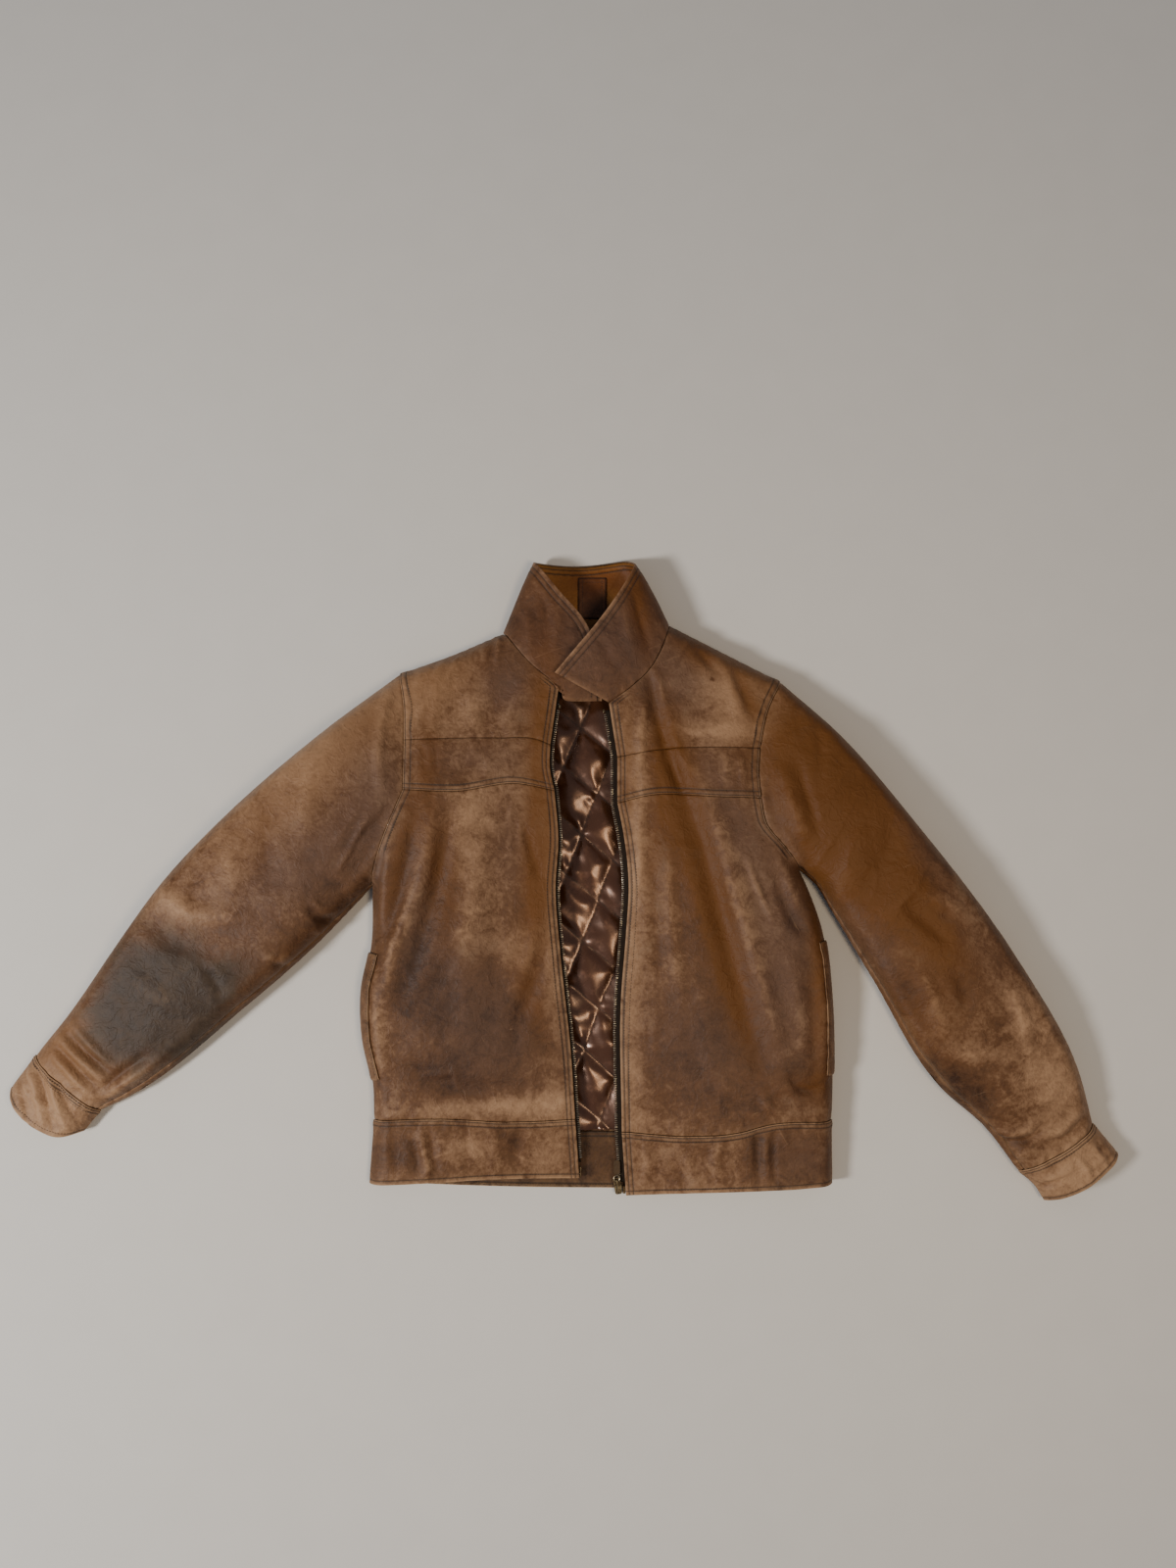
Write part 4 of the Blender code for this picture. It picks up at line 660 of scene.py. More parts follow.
def nearest(points, line):
    """For each plan point: how far the line is, how far along it, and on which side (+1 is to its left)."""
    shape, flat = points.shape[:-1], points.reshape(-1, 2)
    start, step = line[:-1], np.diff(line, axis=0)
    length = np.linalg.norm(step, axis=1)
    reach = reach_of(line)[:-1]
    apart, along, side = (np.empty(len(flat)) for _ in range(3))
    for first in range(0, len(flat), 8192):
        part = slice(first, first + 8192)
        to_point = flat[part, None, :] - start
        share = np.clip((to_point * step).sum(-1) / length**2, 0.0, 1.0)
        offset = to_point - share[..., None] * step
        squared = (offset**2).sum(-1)
        best = squared.argmin(-1)
        rows = np.arange(len(best))
        apart[part] = np.sqrt(squared[rows, best])
        along[part] = reach[best] + share[rows, best] * length[best]
        cross = step[best, 0] * offset[rows, best, 1] - step[best, 1] * offset[rows, best, 0]
        side[part] = np.sign(cross)
    return apart.reshape(shape), along.reshape(shape), side.reshape(shape)


# ---------------------------------------------------------------------------------------- the two layers
def outline_distance(points):
    """How far inside the jacket's outline each plan point lies."""
    near = [np.exp(-nearest(points, line)[0] / CORNER_BLEND) for line in OUTLINES]
    return np.maximum(-CORNER_BLEND * np.log(sum(near)), 0.0)


def full_height(points):
    """The top layer's height over each plan point, away from the folds."""
    spots = np.array(HEIGHTS)
    apart = ((points[..., None, :] - spots[:, :2]) ** 2).sum(-1)
    weights = np.exp(-apart / (2 * SPOT_REACH**2)) + 1e-12
    return (weights * spots[:, 2]).sum(-1) / weights.sum(-1)


def ease(share, power):
    """From 0 to 1, steep at first and level at the end."""
    return 1.0 - (1.0 - np.minimum(share, 1.0)) ** power


def smooth(share):
    """From 0 to 1, level at both ends."""
    share = np.clip(share, 0.0, 1.0)
    return share * share * (3 - 2 * share)


def layer(plan, on_top):
    """Points of the cloth's outer face over these plan points, on the top layer or on the under layer."""
    inward, full = outline_distance(plan), full_height(plan)
    fold = SIDE_SHARE * full
    rise = (1 - CROWN_SHARE) * ease(inward / FOLD_WIDTH, 3) + CROWN_SHARE * ease(inward / CROWN_WIDTH, 2)
    seam = sum(np.exp(-((nearest(plan, line)[0] / ARMHOLE_DIP_WIDTH) ** 2)) for line in ARMHOLES)
    dip = ARMHOLE_DIP * seam * ease(inward / FOLD_WIDTH, 1)
    top = fold + (full - fold) * rise - dip
    under = fold * (1 - ease(inward / UNDER_FOLD_WIDTH, 3))
    return np.concatenate([plan, np.where(on_top, top, under)[..., None]], -1)


# -------------------------------------------------------------------------------------- creases and lumps
LATTICE = 64  # the noise repeats after this many lumps


def noise(points, size, seed):
    """Smooth random values from -1 to 1 whose lumps are this big."""
    lattice = np.random.default_rng(seed).uniform(-1.0, 1.0, (LATTICE, LATTICE))
    cell = points / size + LATTICE / 2
    corner = np.floor(cell).astype(int)
    part = cell - corner
    part = part * part * (3 - 2 * part)
    x, y = corner[..., 0] % LATTICE, corner[..., 1] % LATTICE
    next_x, next_y = (x + 1) % LATTICE, (y + 1) % LATTICE
    low = lattice[x, y] * (1 - part[..., 0]) + lattice[next_x, y] * part[..., 0]
    high = lattice[x, next_y] * (1 - part[..., 0]) + lattice[next_x, next_y] * part[..., 0]
    return low * (1 - part[..., 1]) + high * part[..., 1]


def lumps(points, *kinds):
    """Uneven heights in millimetres: the sum of noises, each given as its height, size and seed."""
    return sum(height * noise(points, size, seed) for height, size, seed in kinds)


def turned(points, degrees, stretch):
    """The points in a frame turned by this angle, and shrunk along its first axis so that noise runs along it."""
    angle = math.radians(degrees)
    c, s = math.cos(angle), math.sin(angle)
    along = points[..., 0] * c + points[..., 1] * s
    across = points[..., 1] * c - points[..., 0] * s
    return np.stack([along / stretch, across], -1)


CREASE_REACH = 4  # widths beyond which a crease's height is nothing


def crease(plan, line, width, height, skew):
    """Height of one crease: a ridge, or a trough where height is negative, that fades out at both ends.
    skew from -1 to 1 tips it, so that one flank is steeper."""
    low, high = line.min(0) - CREASE_REACH * width, line.max(0) + CREASE_REACH * width
    near = ((plan >= low) & (plan <= high)).all(-1)
    made = np.zeros(plan.shape[:-1])
    if not near.any():
        return made
    apart, along, side = nearest(plan[near], line)
    share = along / reach_of(line)[-1]
    taper = np.sin(np.pi * np.clip(share, 0.0, 1.0)) ** 0.7
    across = apart * side / width
    bell = np.exp(-(across**2))
    made[near] = height * taper * ((1 - 0.7 * across**2) * bell + 1.3 * skew * across * bell)
    return made


def creases_on(plan, names):
    """The sum of the main creases of these areas."""
    total = np.zeros(plan.shape[:-1])
    for name in names:
        for width, height, skew, *points in CREASES[name]:
            total += crease(plan, spline(points, 6), width * MM, height * MM, skew)
    return total


def blotch(plan, x, y, along, across, degrees):
    """1 at a patch's middle, falling to 0 outside its two radii."""
    angle = math.radians(degrees)
    dx, dy = plan[..., 0] - x, plan[..., 1] - y
    u = (dx * math.cos(angle) + dy * math.sin(angle)) / along
    v = (dy * math.cos(angle) - dx * math.sin(angle)) / across
    return np.exp(-(u * u + v * v))


def tint(plan, kind):
    """The sum of one kind of colour patches."""
    total = np.zeros(plan.shape[:-1])
    for x, y, along, across, degrees, amount in TINTS[kind]:
        total += amount * blotch(plan, x, y, along, across, degrees)
    return total


# -------------------------------------------------------------------------------------------------- edges
# Rows of the grid near an edge, in millimetres from it.
CUT_ROWS = (0.0, 0.4, 1.0, 2.0, 3.4)
FOLD_ROWS = (0.0, 0.5, 1.2, 2.2, 3.6, 5.4, 7.6, 10.2)
RIM_ROWS, STITCH_ROWS, PAST_STITCHES = (0.0, 0.4, 1.0), (-0.7, 0.0, 0.7), 2.4


def edge(stitches=(), fold=False, lift=0.0, sink=0.0, pucker=0.0, rub=0.5, begin=0.0, upto=9.0):
    """How a panel ends: rows of stitches at these distances in mm, a plain fold, a lapped seam that stands up
    by lift mm or runs down by sink mm, puckers of this height in mm along it, and how much it is rubbed. All of
    this starts begin metres along the edge and ends upto metres along it."""
    rows = FOLD_ROWS if fold else CUT_ROWS
    if stitches:
        rows = {*RIM_ROWS} | {at + apart for at in stitches for apart in STITCH_ROWS}
        rows |= {(a + b) / 2 for a, b in zip(stitches, stitches[1:])} | {stitches[-1] + PAST_STITCHES}
    sizes = {"lift": lift, "sink": sink, "pucker": pucker, "rub": rub, "begin": begin, "upto": upto}
    return {"stitches": stitches, "rows": sorted(rows), **sizes}


ARMHOLE_EDGE = edge(stitches=(1.8, 8.6), lift=1.0, pucker=0.45, rub=0.9)
LOW_ARMHOLE_EDGE = {**ARMHOLE_EDGE, "upto": 0.088}
FRONT_EDGE = edge(stitches=(4.4, 9.4), pucker=0.35, rub=1.0)
SIDE_EDGE = edge(fold=True)
SEAM_UNDER = edge(sink=0.5, pucker=0.8, rub=0.35)
LAPPED = edge(stitches=(2.0, 7.4), lift=0.9, pucker=0.5)
PLAIN_SEAM = edge(sink=0.3)
PANEL_EDGES = {
    # panel: top, bottom, outer, inner
    "yoke": (edge(pucker=0.6), edge(sink=1.0, pucker=0.7, rub=0.0), ARMHOLE_EDGE, FRONT_EDGE),
    "band": (edge(sink=1.0, pucker=0.5, rub=0.0), LAPPED, ARMHOLE_EDGE, FRONT_EDGE),
    "front": (SEAM_UNDER, SEAM_UNDER, LOW_ARMHOLE_EDGE, FRONT_EDGE),
    "waistband": (
        edge(stitches=(2.0, 6.6), lift=0.9, pucker=0.5, rub=0.9),
        edge(stitches=(5.0,), pucker=0.3, rub=1.2),
        SIDE_EDGE,
        FRONT_EDGE,
    ),
    "sleeve": (edge(sink=0.8, pucker=0.9), edge(sink=0.6, pucker=0.9), SIDE_EDGE, SIDE_EDGE),
    "cuff": (edge(stitches=(2.0, 5.6), lift=0.7, pucker=0.5, rub=1.0), edge(stitches=(4.0,), pucker=0.4, rub=1.2)),
    "back": (PLAIN_SEAM, PLAIN_SEAM, SIDE_EDGE, SIDE_EDGE),
    "waistband_back": (edge(stitches=(2.0, 6.6), pucker=0.3), edge(stitches=(5.0,), rub=1.2), SIDE_EDGE, SIDE_EDGE),
}


# -------------------------------------------------------------------------------------------------- grids
def end_rows(length, first, last):
    """Where the close rows of the first edge and of the last edge stand along a line of this length."""
    return np.array(first["rows"]) * MM, length - np.array(last["rows"])[::-1] * MM


def steps_between(lines, first, last, step):
    """How many steps the longest of these lines takes between the close rows at its ends."""
    ends = (end_rows(reach_of(line)[-1], first, last) for line in lines)
    return max(2, *(round((end[0] - start[-1]) / step) for start, end in ends))


def spaced(line, first, last, count):
    """Shares of the line's length, with this many steps between the close rows at its ends."""
    length = reach_of(line)[-1]
    start, end = end_rows(length, first, last)
    return np.concatenate([start, np.linspace(start[-1], end[0], count + 1)[1:-1], end]) / length


def coons(top, bottom, outer, inner, down, across, fade):
    """Plan points between four lines. down holds the shares along outer and inner, across along top and bottom.
    With a higher fade the bends of the top and bottom lines die away sooner inside the panel."""
    def at(line, shares):
        return at_reach(line, shares * reach_of(line)[-1])

    def bend(line, shares):
        return at(line, shares) - (1 - shares[:, None]) * line[0] - shares[:, None] * line[-1]

    middle_down, middle_across = (down[0] + down[1]) / 2, (across[0] + across[1]) / 2
    v = across[0][None, :] + (across[1] - across[0])[None, :] * middle_down[:, None]
    u = down[0][:, None] + (down[1] - down[0])[:, None] * middle_across[None, :]
    u, v = u[..., None], v[..., None]
    straight = (1 - v) * at(outer, down[0])[:, None] + v * at(inner, down[1])[:, None]
    return straight + (1 - u) ** fade * bend(top, across[0]) + u**fade * bend(bottom, across[1])


def plan_grid(lines, edges, step, fade=1):
    """The plan of a four-sided panel, from its top, bottom, outer and inner lines and how each of them ends."""
    top, bottom, outer, inner = lines
    rows = steps_between((outer, inner), edges[0], edges[1], step)
    columns = steps_between((top, bottom), edges[2], edges[3], step)
    down = [spaced(line, edges[0], edges[1], rows) for line in (outer, inner)]
    across = [spaced(line, edges[2], edges[3], columns) for line in (top, bottom)]
    return coons(top, bottom, outer, inner, down, across, fade)


def facing_of(points):
    """Which way a grid's faces look: rows run down and columns across."""
    return unit(np.cross(np.gradient(points, axis=0), np.gradient(points, axis=1)))


SEED_APART = 0.37  # each seam takes its own line through the noise


def wave(reach, length, seed):
    """An uneven wave along a seam, from -1 to 1."""
    place = np.stack([reach, np.full_like(reach, seed * SEED_APART)], -1)
    shift = noise(place, length * 2.2, seed)
    size = 0.55 + 0.45 * noise(place, length * 3.1, seed + 1)
    return np.sin(2 * np.pi * (reach / length + 0.55 * shift)) * size


def drawn_in(points, ring=False):
    """The grid's edges moved in by half of the seam's gap."""
    points = points.copy()
    for lines in (points,) if ring else (points, points.swapaxes(0, 1)):
        for at, next_in in ((0, 1), (-1, -2)):
            lines[at] += unit(lines[next_in] - lines[at]) * SEAM_GAP / 2
    return points


def edge_distances(points, ring):
    """For each grid point: how far it is from the top, bottom, outer and inner edges, and how far along them."""
    steps = [np.linalg.norm(np.diff(points, axis=axis, prepend=start), axis=-1)
             for axis, start in ((0, points[:1]), (1, points[:, :1]))]
    down, across = steps[0].cumsum(0), steps[1].cumsum(1)
    pairs = [(down, across), (down[-1:] - down, across)]
    return pairs if ring else pairs + [(across, down), (across[:, -1:] - across, down)]


# How an edge is worked, in millimetres from it.
RIM_DROP, RIM_WIDTH = 0.9, 0.5
SINK_WIDTH = 2.5
LAP_PAST_STITCHES, LAP_WIDTH = 0.8, 2.4
PUCKER_REACH, PUCKER_START = 9.0, 2.0
STITCH_SINK, STITCH_WIDTH = 0.55, 0.62
RUB_NEAR, RUB_FAR = 1.4, 7.0
PUCKER_LENGTH = 0.0135  # metres from one pucker to the next
SEAM_FADE = 0.012  # metres over which a seam's work begins and ends
FOLD_HEIGHT, MOST_FOLD = 2.4, 1.5  # a crease this high counts as 1 in the fold mask
STITCHES_STOP = 0.008  # metres before the seam's end
TURNED_AWAY = -0.3  # a face that looks this far from where the cloth faces has folded over, and is turned back


class Cloth:
    """One piece of cloth: a grid of points with its colour masks, and the grid lines that thread follows."""

    def __init__(self, base, edges, relief, plan, seed, ring=False, outward=None):
        facing = facing_of(base)
        if outward is not None:
            facing *= np.sign((facing * outward).sum())
            facing[(facing * outward).sum(-1) < TURNED_AWAY] *= -1
        masks = {"stitch": np.zeros(base.shape[:2]), "rub": np.zeros(base.shape[:2])}
        height = relief.copy()
        for number, (spec, (apart, along)) in enumerate(zip(edges, edge_distances(base, ring))):
            mm = apart / MM
            height -= RIM_DROP * MM * np.exp(-mm / RIM_WIDTH)
            height -= spec["sink"] * MM * np.exp(-mm / SINK_WIDTH)
            last = spec["stitches"][-1] if spec["stitches"] else 0.0
            ended, begun = (smooth((along - spec[at]) / SEAM_FADE + 1) for at in ("upto", "begin"))
            here = (1 - ended) * begun
            height += spec["lift"] * MM * (1 - smooth((mm - last - LAP_PAST_STITCHES) / LAP_WIDTH)) * here
            pucker = wave(along, PUCKER_LENGTH, seed + number)
            pucker = pucker * np.exp(-((mm - last) / PUCKER_REACH) ** 2) * smooth(mm / PUCKER_START)
            height += spec["pucker"] * MM * pucker * here
            rubbed = spec["rub"] * (0.6 * np.exp(-mm / RUB_NEAR) + 0.4 * np.exp(-mm / RUB_FAR))
            masks["rub"] = np.maximum(masks["rub"], rubbed * (0.25 + 0.75 * here))
            for at in spec["stitches"]:
                line = np.exp(-(((mm - at) / STITCH_WIDTH) ** 2)) * here
                height -= STITCH_SINK * MM * line
                # The stitch mask paints shade along the sunken stitch lines.
                masks["stitch"] = np.maximum(masks["stitch"], line)
        self.points = drawn_in(base + facing * height[..., None], ring)
        self.points[..., 2] = np.maximum(self.points[..., 2], 0.0)
        self.facing = facing_of(self.points)
        self.facing *= np.sign((self.facing * facing).sum(-1, keepdims=True))
        # The fold mask paints shade into the troughs of the creases and light onto their ridges.
        masks["fold"] = np.clip(relief / (FOLD_HEIGHT * MM), -MOST_FOLD, MOST_FOLD)
        for kind in TINTS:
            masks[kind] = tint(plan, kind)
        self.edges, self.ring, self.masks = edges, ring, masks

    def stitch_lines(self, number, start=0.0, end=0.0):
        """The lines of stitches beside one edge, as (points, facing), without the first and last metres given."""
        found = []
        spec = self.edges[number]
        for at in spec["stitches"]:
            index = spec["rows"].index(at)
            index = index if number in (0, 2) else -1 - index
            pick = (index,) if number < 2 else (slice(None), index)
            points, facing = self.points[pick], self.facing[pick]
            if self.ring:
                points, facing = (np.vstack([line, line[:1]]) for line in (points, facing))
            reach = reach_of(points)
            keep = (reach >= max(start, spec["begin"])) & (reach <= min(reach[-1] - end, spec["upto"] - STITCHES_STOP))
            found.append((points[keep], facing[keep]))
        return found


def add_mesh(name, points, faces, material):
    mesh = bpy.data.meshes.new(name)
    mesh.from_pydata(np.asarray(points).reshape(-1, 3).tolist(), [], [list(map(int, face)) for face in faces])
    mesh.materials.append(material)
    mesh.shade_smooth()
    piece = bpy.data.objects.new(name, mesh)
    bpy.context.scene.collection.objects.link(piece)
    return piece


def wall_faces(index, outer, facing):
    """Four-cornered faces of the outer face of a wall, of its inner face and of the rims between them."""
    quads = np.stack([index[:-1, :-1], index[1:, :-1], index[1:, 1:], index[:-1, 1:]], -1).reshape(-1, 4)
    corners = outer[quads]
    normal = np.cross(corners[:, 2] - corners[:, 0], corners[:, 3] - corners[:, 1])
    wrong = (normal * facing[quads].sum(1)).sum(-1) < 0
    quads[wrong] = quads[wrong, ::-1]
    rims, count = [], len(outer)
    closed = index[0, 0] == index[0, -1]
    for lines in (index,) if closed else (index, index.T):
        for line, next_in in ((lines[0], lines[1]), (lines[-1], lines[-2])):
            rim = np.stack([line[:-1], line[1:], line[1:] + count, line[:-1] + count], -1)
            sideways = np.cross(outer[rim[:, 1]] - outer[rim[:, 0]], facing[rim[:, 0]])
            wrong = (sideways * (outer[line[:-1]] - outer[next_in[:-1]])).sum() > 0
            rims.append(rim[:, ::-1] if wrong else rim)
    return quads, quads[:, ::-1] + count, np.vstack(rims)


def add_cloth(name, node, cloth, material, inside, wall):
    """Makes the piece from its grid, with an inner face of its own, and hides the imported part that it stands for."""
    rows, columns = cloth.points.shape[:2]
    index = np.arange(rows * columns).reshape(rows, columns)
    if cloth.ring:
        index = np.concatenate([index, index[:, :1]], axis=1)
    outer, facing = cloth.points.reshape(-1, 3), cloth.facing.reshape(-1, 3)
    quads, inner_quads, rims = wall_faces(index, outer, facing)
    piece = add_mesh(name, np.vstack([outer, outer - facing * wall]), np.vstack([quads, inner_quads, rims]), material)
    piece.data.materials.append(inside)
    kinds = np.repeat([0, 1, 0], [len(quads), len(inner_quads), len(rims)])
    piece.data.polygons.foreach_set("material_index", kinds.astype(np.int32))
    for mask, values in cloth.masks.items():
        both = np.tile(values.ravel(), 2).astype(np.float32)
        piece.data.attributes.new(mask, "FLOAT", "POINT").data.foreach_set("value", both)
    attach(piece, "jacket")
    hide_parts(node)


# ------------------------------------------------------------------------------------------------- thread
def tube_faces(count, rings, sides):
    """Faces of this many closed tubes, whose points follow each other ring by ring."""
    faces = []
    for first in range(0, count * rings * sides, rings * sides):
        last = first + (rings - 1) * sides
        for base in range(first, last, sides):
            for k in range(sides):
                a, b = base + k, base + (k + 1) % sides
                faces.append((a, b, b + sides, a + sides))
        faces += [range(first + sides - 1, first - 1, -1), range(last, last + sides)]
    return faces


STITCH_SIDES = 5
# A stitch's rings: place along it as a share of its length, and girth and rise as shares of its radius.
STITCH_RINGS = ((-0.5, 0.45, -1.1), (-0.3, 1.0, 0.25), (0.3, 1.0, 0.25), (0.5, 0.45, -1.1))


def stitches_along(runs, pitch, length, radius):
    """The points of short threads, end to end along lines on the cloth, ring by ring."""
    place_along, girth, rise = np.array(STITCH_RINGS).T * np.array([[length], [radius], [radius]])
    angles = np.linspace(0, 2 * np.pi, STITCH_SIDES, endpoint=False)
    points = []
    for line, facing in runs:
        reach = reach_of(line)
        count = int(reach[-1] / pitch)
        if count < 1:
            continue
        centres = (np.arange(count) + 0.5) * pitch
        ahead, behind = (at_reach(line, centres + move) for move in (0.4 * length, -0.4 * length))
        normal = unit(np.stack([np.interp(centres, reach, column) for column in facing.T], -1))
        forward = unit(ahead - behind)
        sideways = unit(np.cross(normal, forward))
        place = at_reach(line, centres)
        ring = (
            place[:, None, None]
            + forward[:, None, None] * place_along[None, :, None, None]
            + sideways[:, None, None] * (girth[:, None] * np.cos(angles))[None, :, :, None]
            + normal[:, None, None] * (rise[:, None] + girth[:, None] * np.sin(angles))[None, :, :, None]
        )
        points.append(ring.reshape(-1, 3))
    points = np.vstack(points)
    points[:, 2] = np.maximum(points[:, 2], 0.0)
    return points


def add_thread(name, runs, material, pitch=0.0034, length=0.0028, radius=0.00032):
    points = stitches_along(runs, pitch, length, radius)
    rings = len(STITCH_RINGS)
    faces = tube_faces(len(points) // (rings * STITCH_SIDES), rings, STITCH_SIDES)
    piece = add_mesh(name, points, faces, material)
    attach(piece, "jacket")


# ---------------------------------------------------------------------------------------- panels of cloth
AREAS = {side: [f"{side}_{part}" for part in ("body", "band", "sleeve", "cuff")] for side in SIDES}
PANEL_LINES = {
    # panel: its top, bottom, outer and inner lines
    "yoke": (("shoulder",), ("yoke_seam",), ("armhole_yoke",), ("neck", "edge_yoke")),
    "band": (("yoke_seam",), ("chest_seam",), ("armhole_band",), ("edge_band",)),
    "front": (("chest_seam",), ("waist_seam",), ("armhole_low", "side"), ("edge_low",)),
    "waistband": (("waist_seam",), ("hem",), ("side_band",), ("edge_waist",)),
    "sleeve": (ARMHOLE, ("cuff_seam",), ("sleeve_upper",), ("sleeve_lower",)),
    "cuff": (("cuff_seam",), ("cuff_end",), ("cuff_upper",), ("cuff_lower",)),
}
UP, DOWN = np.array((0.0, 0.0, 1.0)), np.array((0.0, 0.0, -1.0))


RELIEF_FADE, LEAST_RELIEF = 0.010, 0.05
MOST_UNDER = 1.6  # millimetres by which the cloth lifts off the floor at most


def relief_on(plan, side):
    """Creases, and the soft unevenness between them, on the top layer. They die away at the outline."""
    soft = lumps(plan, (1.7, 0.065, 11), (0.75, 0.027, 12))
    fine = lumps(plan, (0.32, 0.012, 13), (0.14, 0.0068, 14))
    broken = np.abs(noise(turned(plan, 60, 2.4), 0.022, 15))
    ridges = 1.2 * (1 - broken) ** 6 * smooth(0.3 + noise(plan, 0.080, 16))
    relief = creases_on(plan, AREAS[side]) + (soft + fine + ridges) * MM
    return relief * smooth(outline_distance(plan) / RELIEF_FADE + LEAST_RELIEF)


def raised(plan, side):
    """Points of the top layer's outer face over these plan points, with its creases."""
    return layer(plan, True) + UP * relief_on(plan, side)[..., None]


def under_relief(plan):
    """On the floor side the cloth only lifts: nothing reaches below the floor."""
    lift = np.abs(creases_on(plan, ["back"])) + 0.35 * MM * (1 + noise(plan, 0.045, 31))
    return -np.minimum(lift, MOST_UNDER * MM) * smooth(outline_distance(plan) / RELIEF_FADE)


def panel_lines(side, name):
    return [plan_line(side, *names) for names in PANEL_LINES[name]]


def cloth_on(plan, on_top, side, edges, seed, ring=False):
    """A piece of cloth over plan points, on the top layer where on_top is true."""
    on_top = np.broadcast_to(on_top, plan.shape[:2])
    relief = np.where(on_top, relief_on(plan, side) if on_top.any() else 0.0, under_relief(plan))
    outward = np.where(on_top[..., None], UP, DOWN)
    return Cloth(layer(plan, on_top), edges, relief, plan, seed, ring, outward)


def front_panel(side, name):
    seed, edges = 20 * list(PANEL_LINES).index(name) + 7 * (side == "right"), PANEL_EDGES[name]
    plan = plan_grid(panel_lines(side, name), edges, STEPS["panel"])
    if name == "yoke":
        edges = (*edges[:3], {**FRONT_EDGE, "begin": reach_of(plan_line(side, "neck"))[-1]})
    return cloth_on(plan, True, side, edges, seed)


UNDERARM_SEAM = edge(sink=0.4, pucker=0.8, rub=0.4)
SEAM_COLUMN = 4  # steps from the sleeve's lower outline to the seam on its top side
HEAD_FADE = 24  # keeps the bends of the armhole out of the sleeve's grid


def sleeve_pieces(side):
    """The top of the sleeve, and its under piece, which wraps round the lower outline to meet it."""
    head, wrist, outer, _ = PANEL_EDGES["sleeve"]
    plan = plan_grid(panel_lines(side, "sleeve"), PANEL_EDGES["sleeve"], STEPS["sleeve"], HEAD_FADE)
    seam = -1 - SEAM_COLUMN
    top = cloth_on(plan[:, : seam + 1], True, side, (head, wrist, outer, UNDERARM_SEAM), 90)
    wrapped = np.concatenate([plan[:, seam:], plan[:, -2::-1]], axis=1)
    on_top = np.arange(wrapped.shape[1]) <= SEAM_COLUMN
    return top, cloth_on(wrapped, on_top, side, (PLAIN_SEAM, PLAIN_SEAM, UNDERARM_SEAM, outer), 96)


def cuff_ring(side):
    plan = plan_grid(panel_lines(side, "cuff"), PANEL_EDGES["cuff"] + (SIDE_EDGE,) * 2, STEPS["cuff"])
    around = np.concatenate([plan, plan[:, -2:0:-1]], axis=1)
    on_top = np.arange(around.shape[1]) < plan.shape[1]
    return cloth_on(around, on_top, side, PANEL_EDGES["cuff"], 104, ring=True)


def back_pieces():
    """The back panel and its waistband. The fronts' patches of colour don't reach through to them."""
    shoulders, sides, bands = ([plan_line(side, *names) for side in SIDES]
                               for names in (("shoulder",), (*ARMHOLE, "side"), ("side_band",)))
    top = joined(shoulders[0], spline(BACK_NECK), shoulders[1][::-1])
    waist, hem = spline(BACK_WAIST), spline(BACK_HEM)
    pieces = []
    for name, lines, step, seed in (
        ("back", (top, waist, *sides), STEPS["back"], 110),
        ("waistband_back", (waist, hem, *bands), STEPS["back_band"], 116),
    ):
        edges = PANEL_EDGES[name]
        pieces.append(cloth_on(plan_grid(lines, edges, step), False, "left", edges, seed))
        for kind in TINTS:
            pieces[-1].masks[kind] *= 0.0
    return pieces


# ------------------------------------------------------------------------------------------------- collar
COLLAR_EDGES = (edge(sink=0.5, pucker=0.7, rub=0.4), edge(stitches=(5.8, 11.6), pucker=0.4, rub=1.2), edge(), edge())
COLLAR_ROWS = 22  # between the close rows at its seam and at its free edge
LEFT_END_SHARE = 0.14  # of the front's neck line, over which the left leaf's end turns into the leaf
COLLAR_BULGE = 2.2  # millimetres
LIES_BELOW, STANDING_RISE = 0.012, 0.020  # smooth below this height, and fully creased this much above it
SPLINE_STEPS = 8


def neckline():
    """The line that the collar is sewn to, from the left front round to the right."""
    return joined(
        layer(plan_line("left", "neck")[::-1], True),
        layer(spline(BACK_NECK), False),
        layer(plan_line("right", "neck"), True),
    )


def collar_edge(shares):
    """The points of the collar's free edge at these shares of the neckline."""
    table = np.array(COLLAR_EDGE)
    line = spline(table[:, 1:], SPLINE_STEPS)
    line_shares = np.interp(np.arange(len(line)), np.arange(0, len(line), SPLINE_STEPS), table[:, 0])
    return np.stack([np.interp(shares, line_shares, column) for column in line.T], 1)


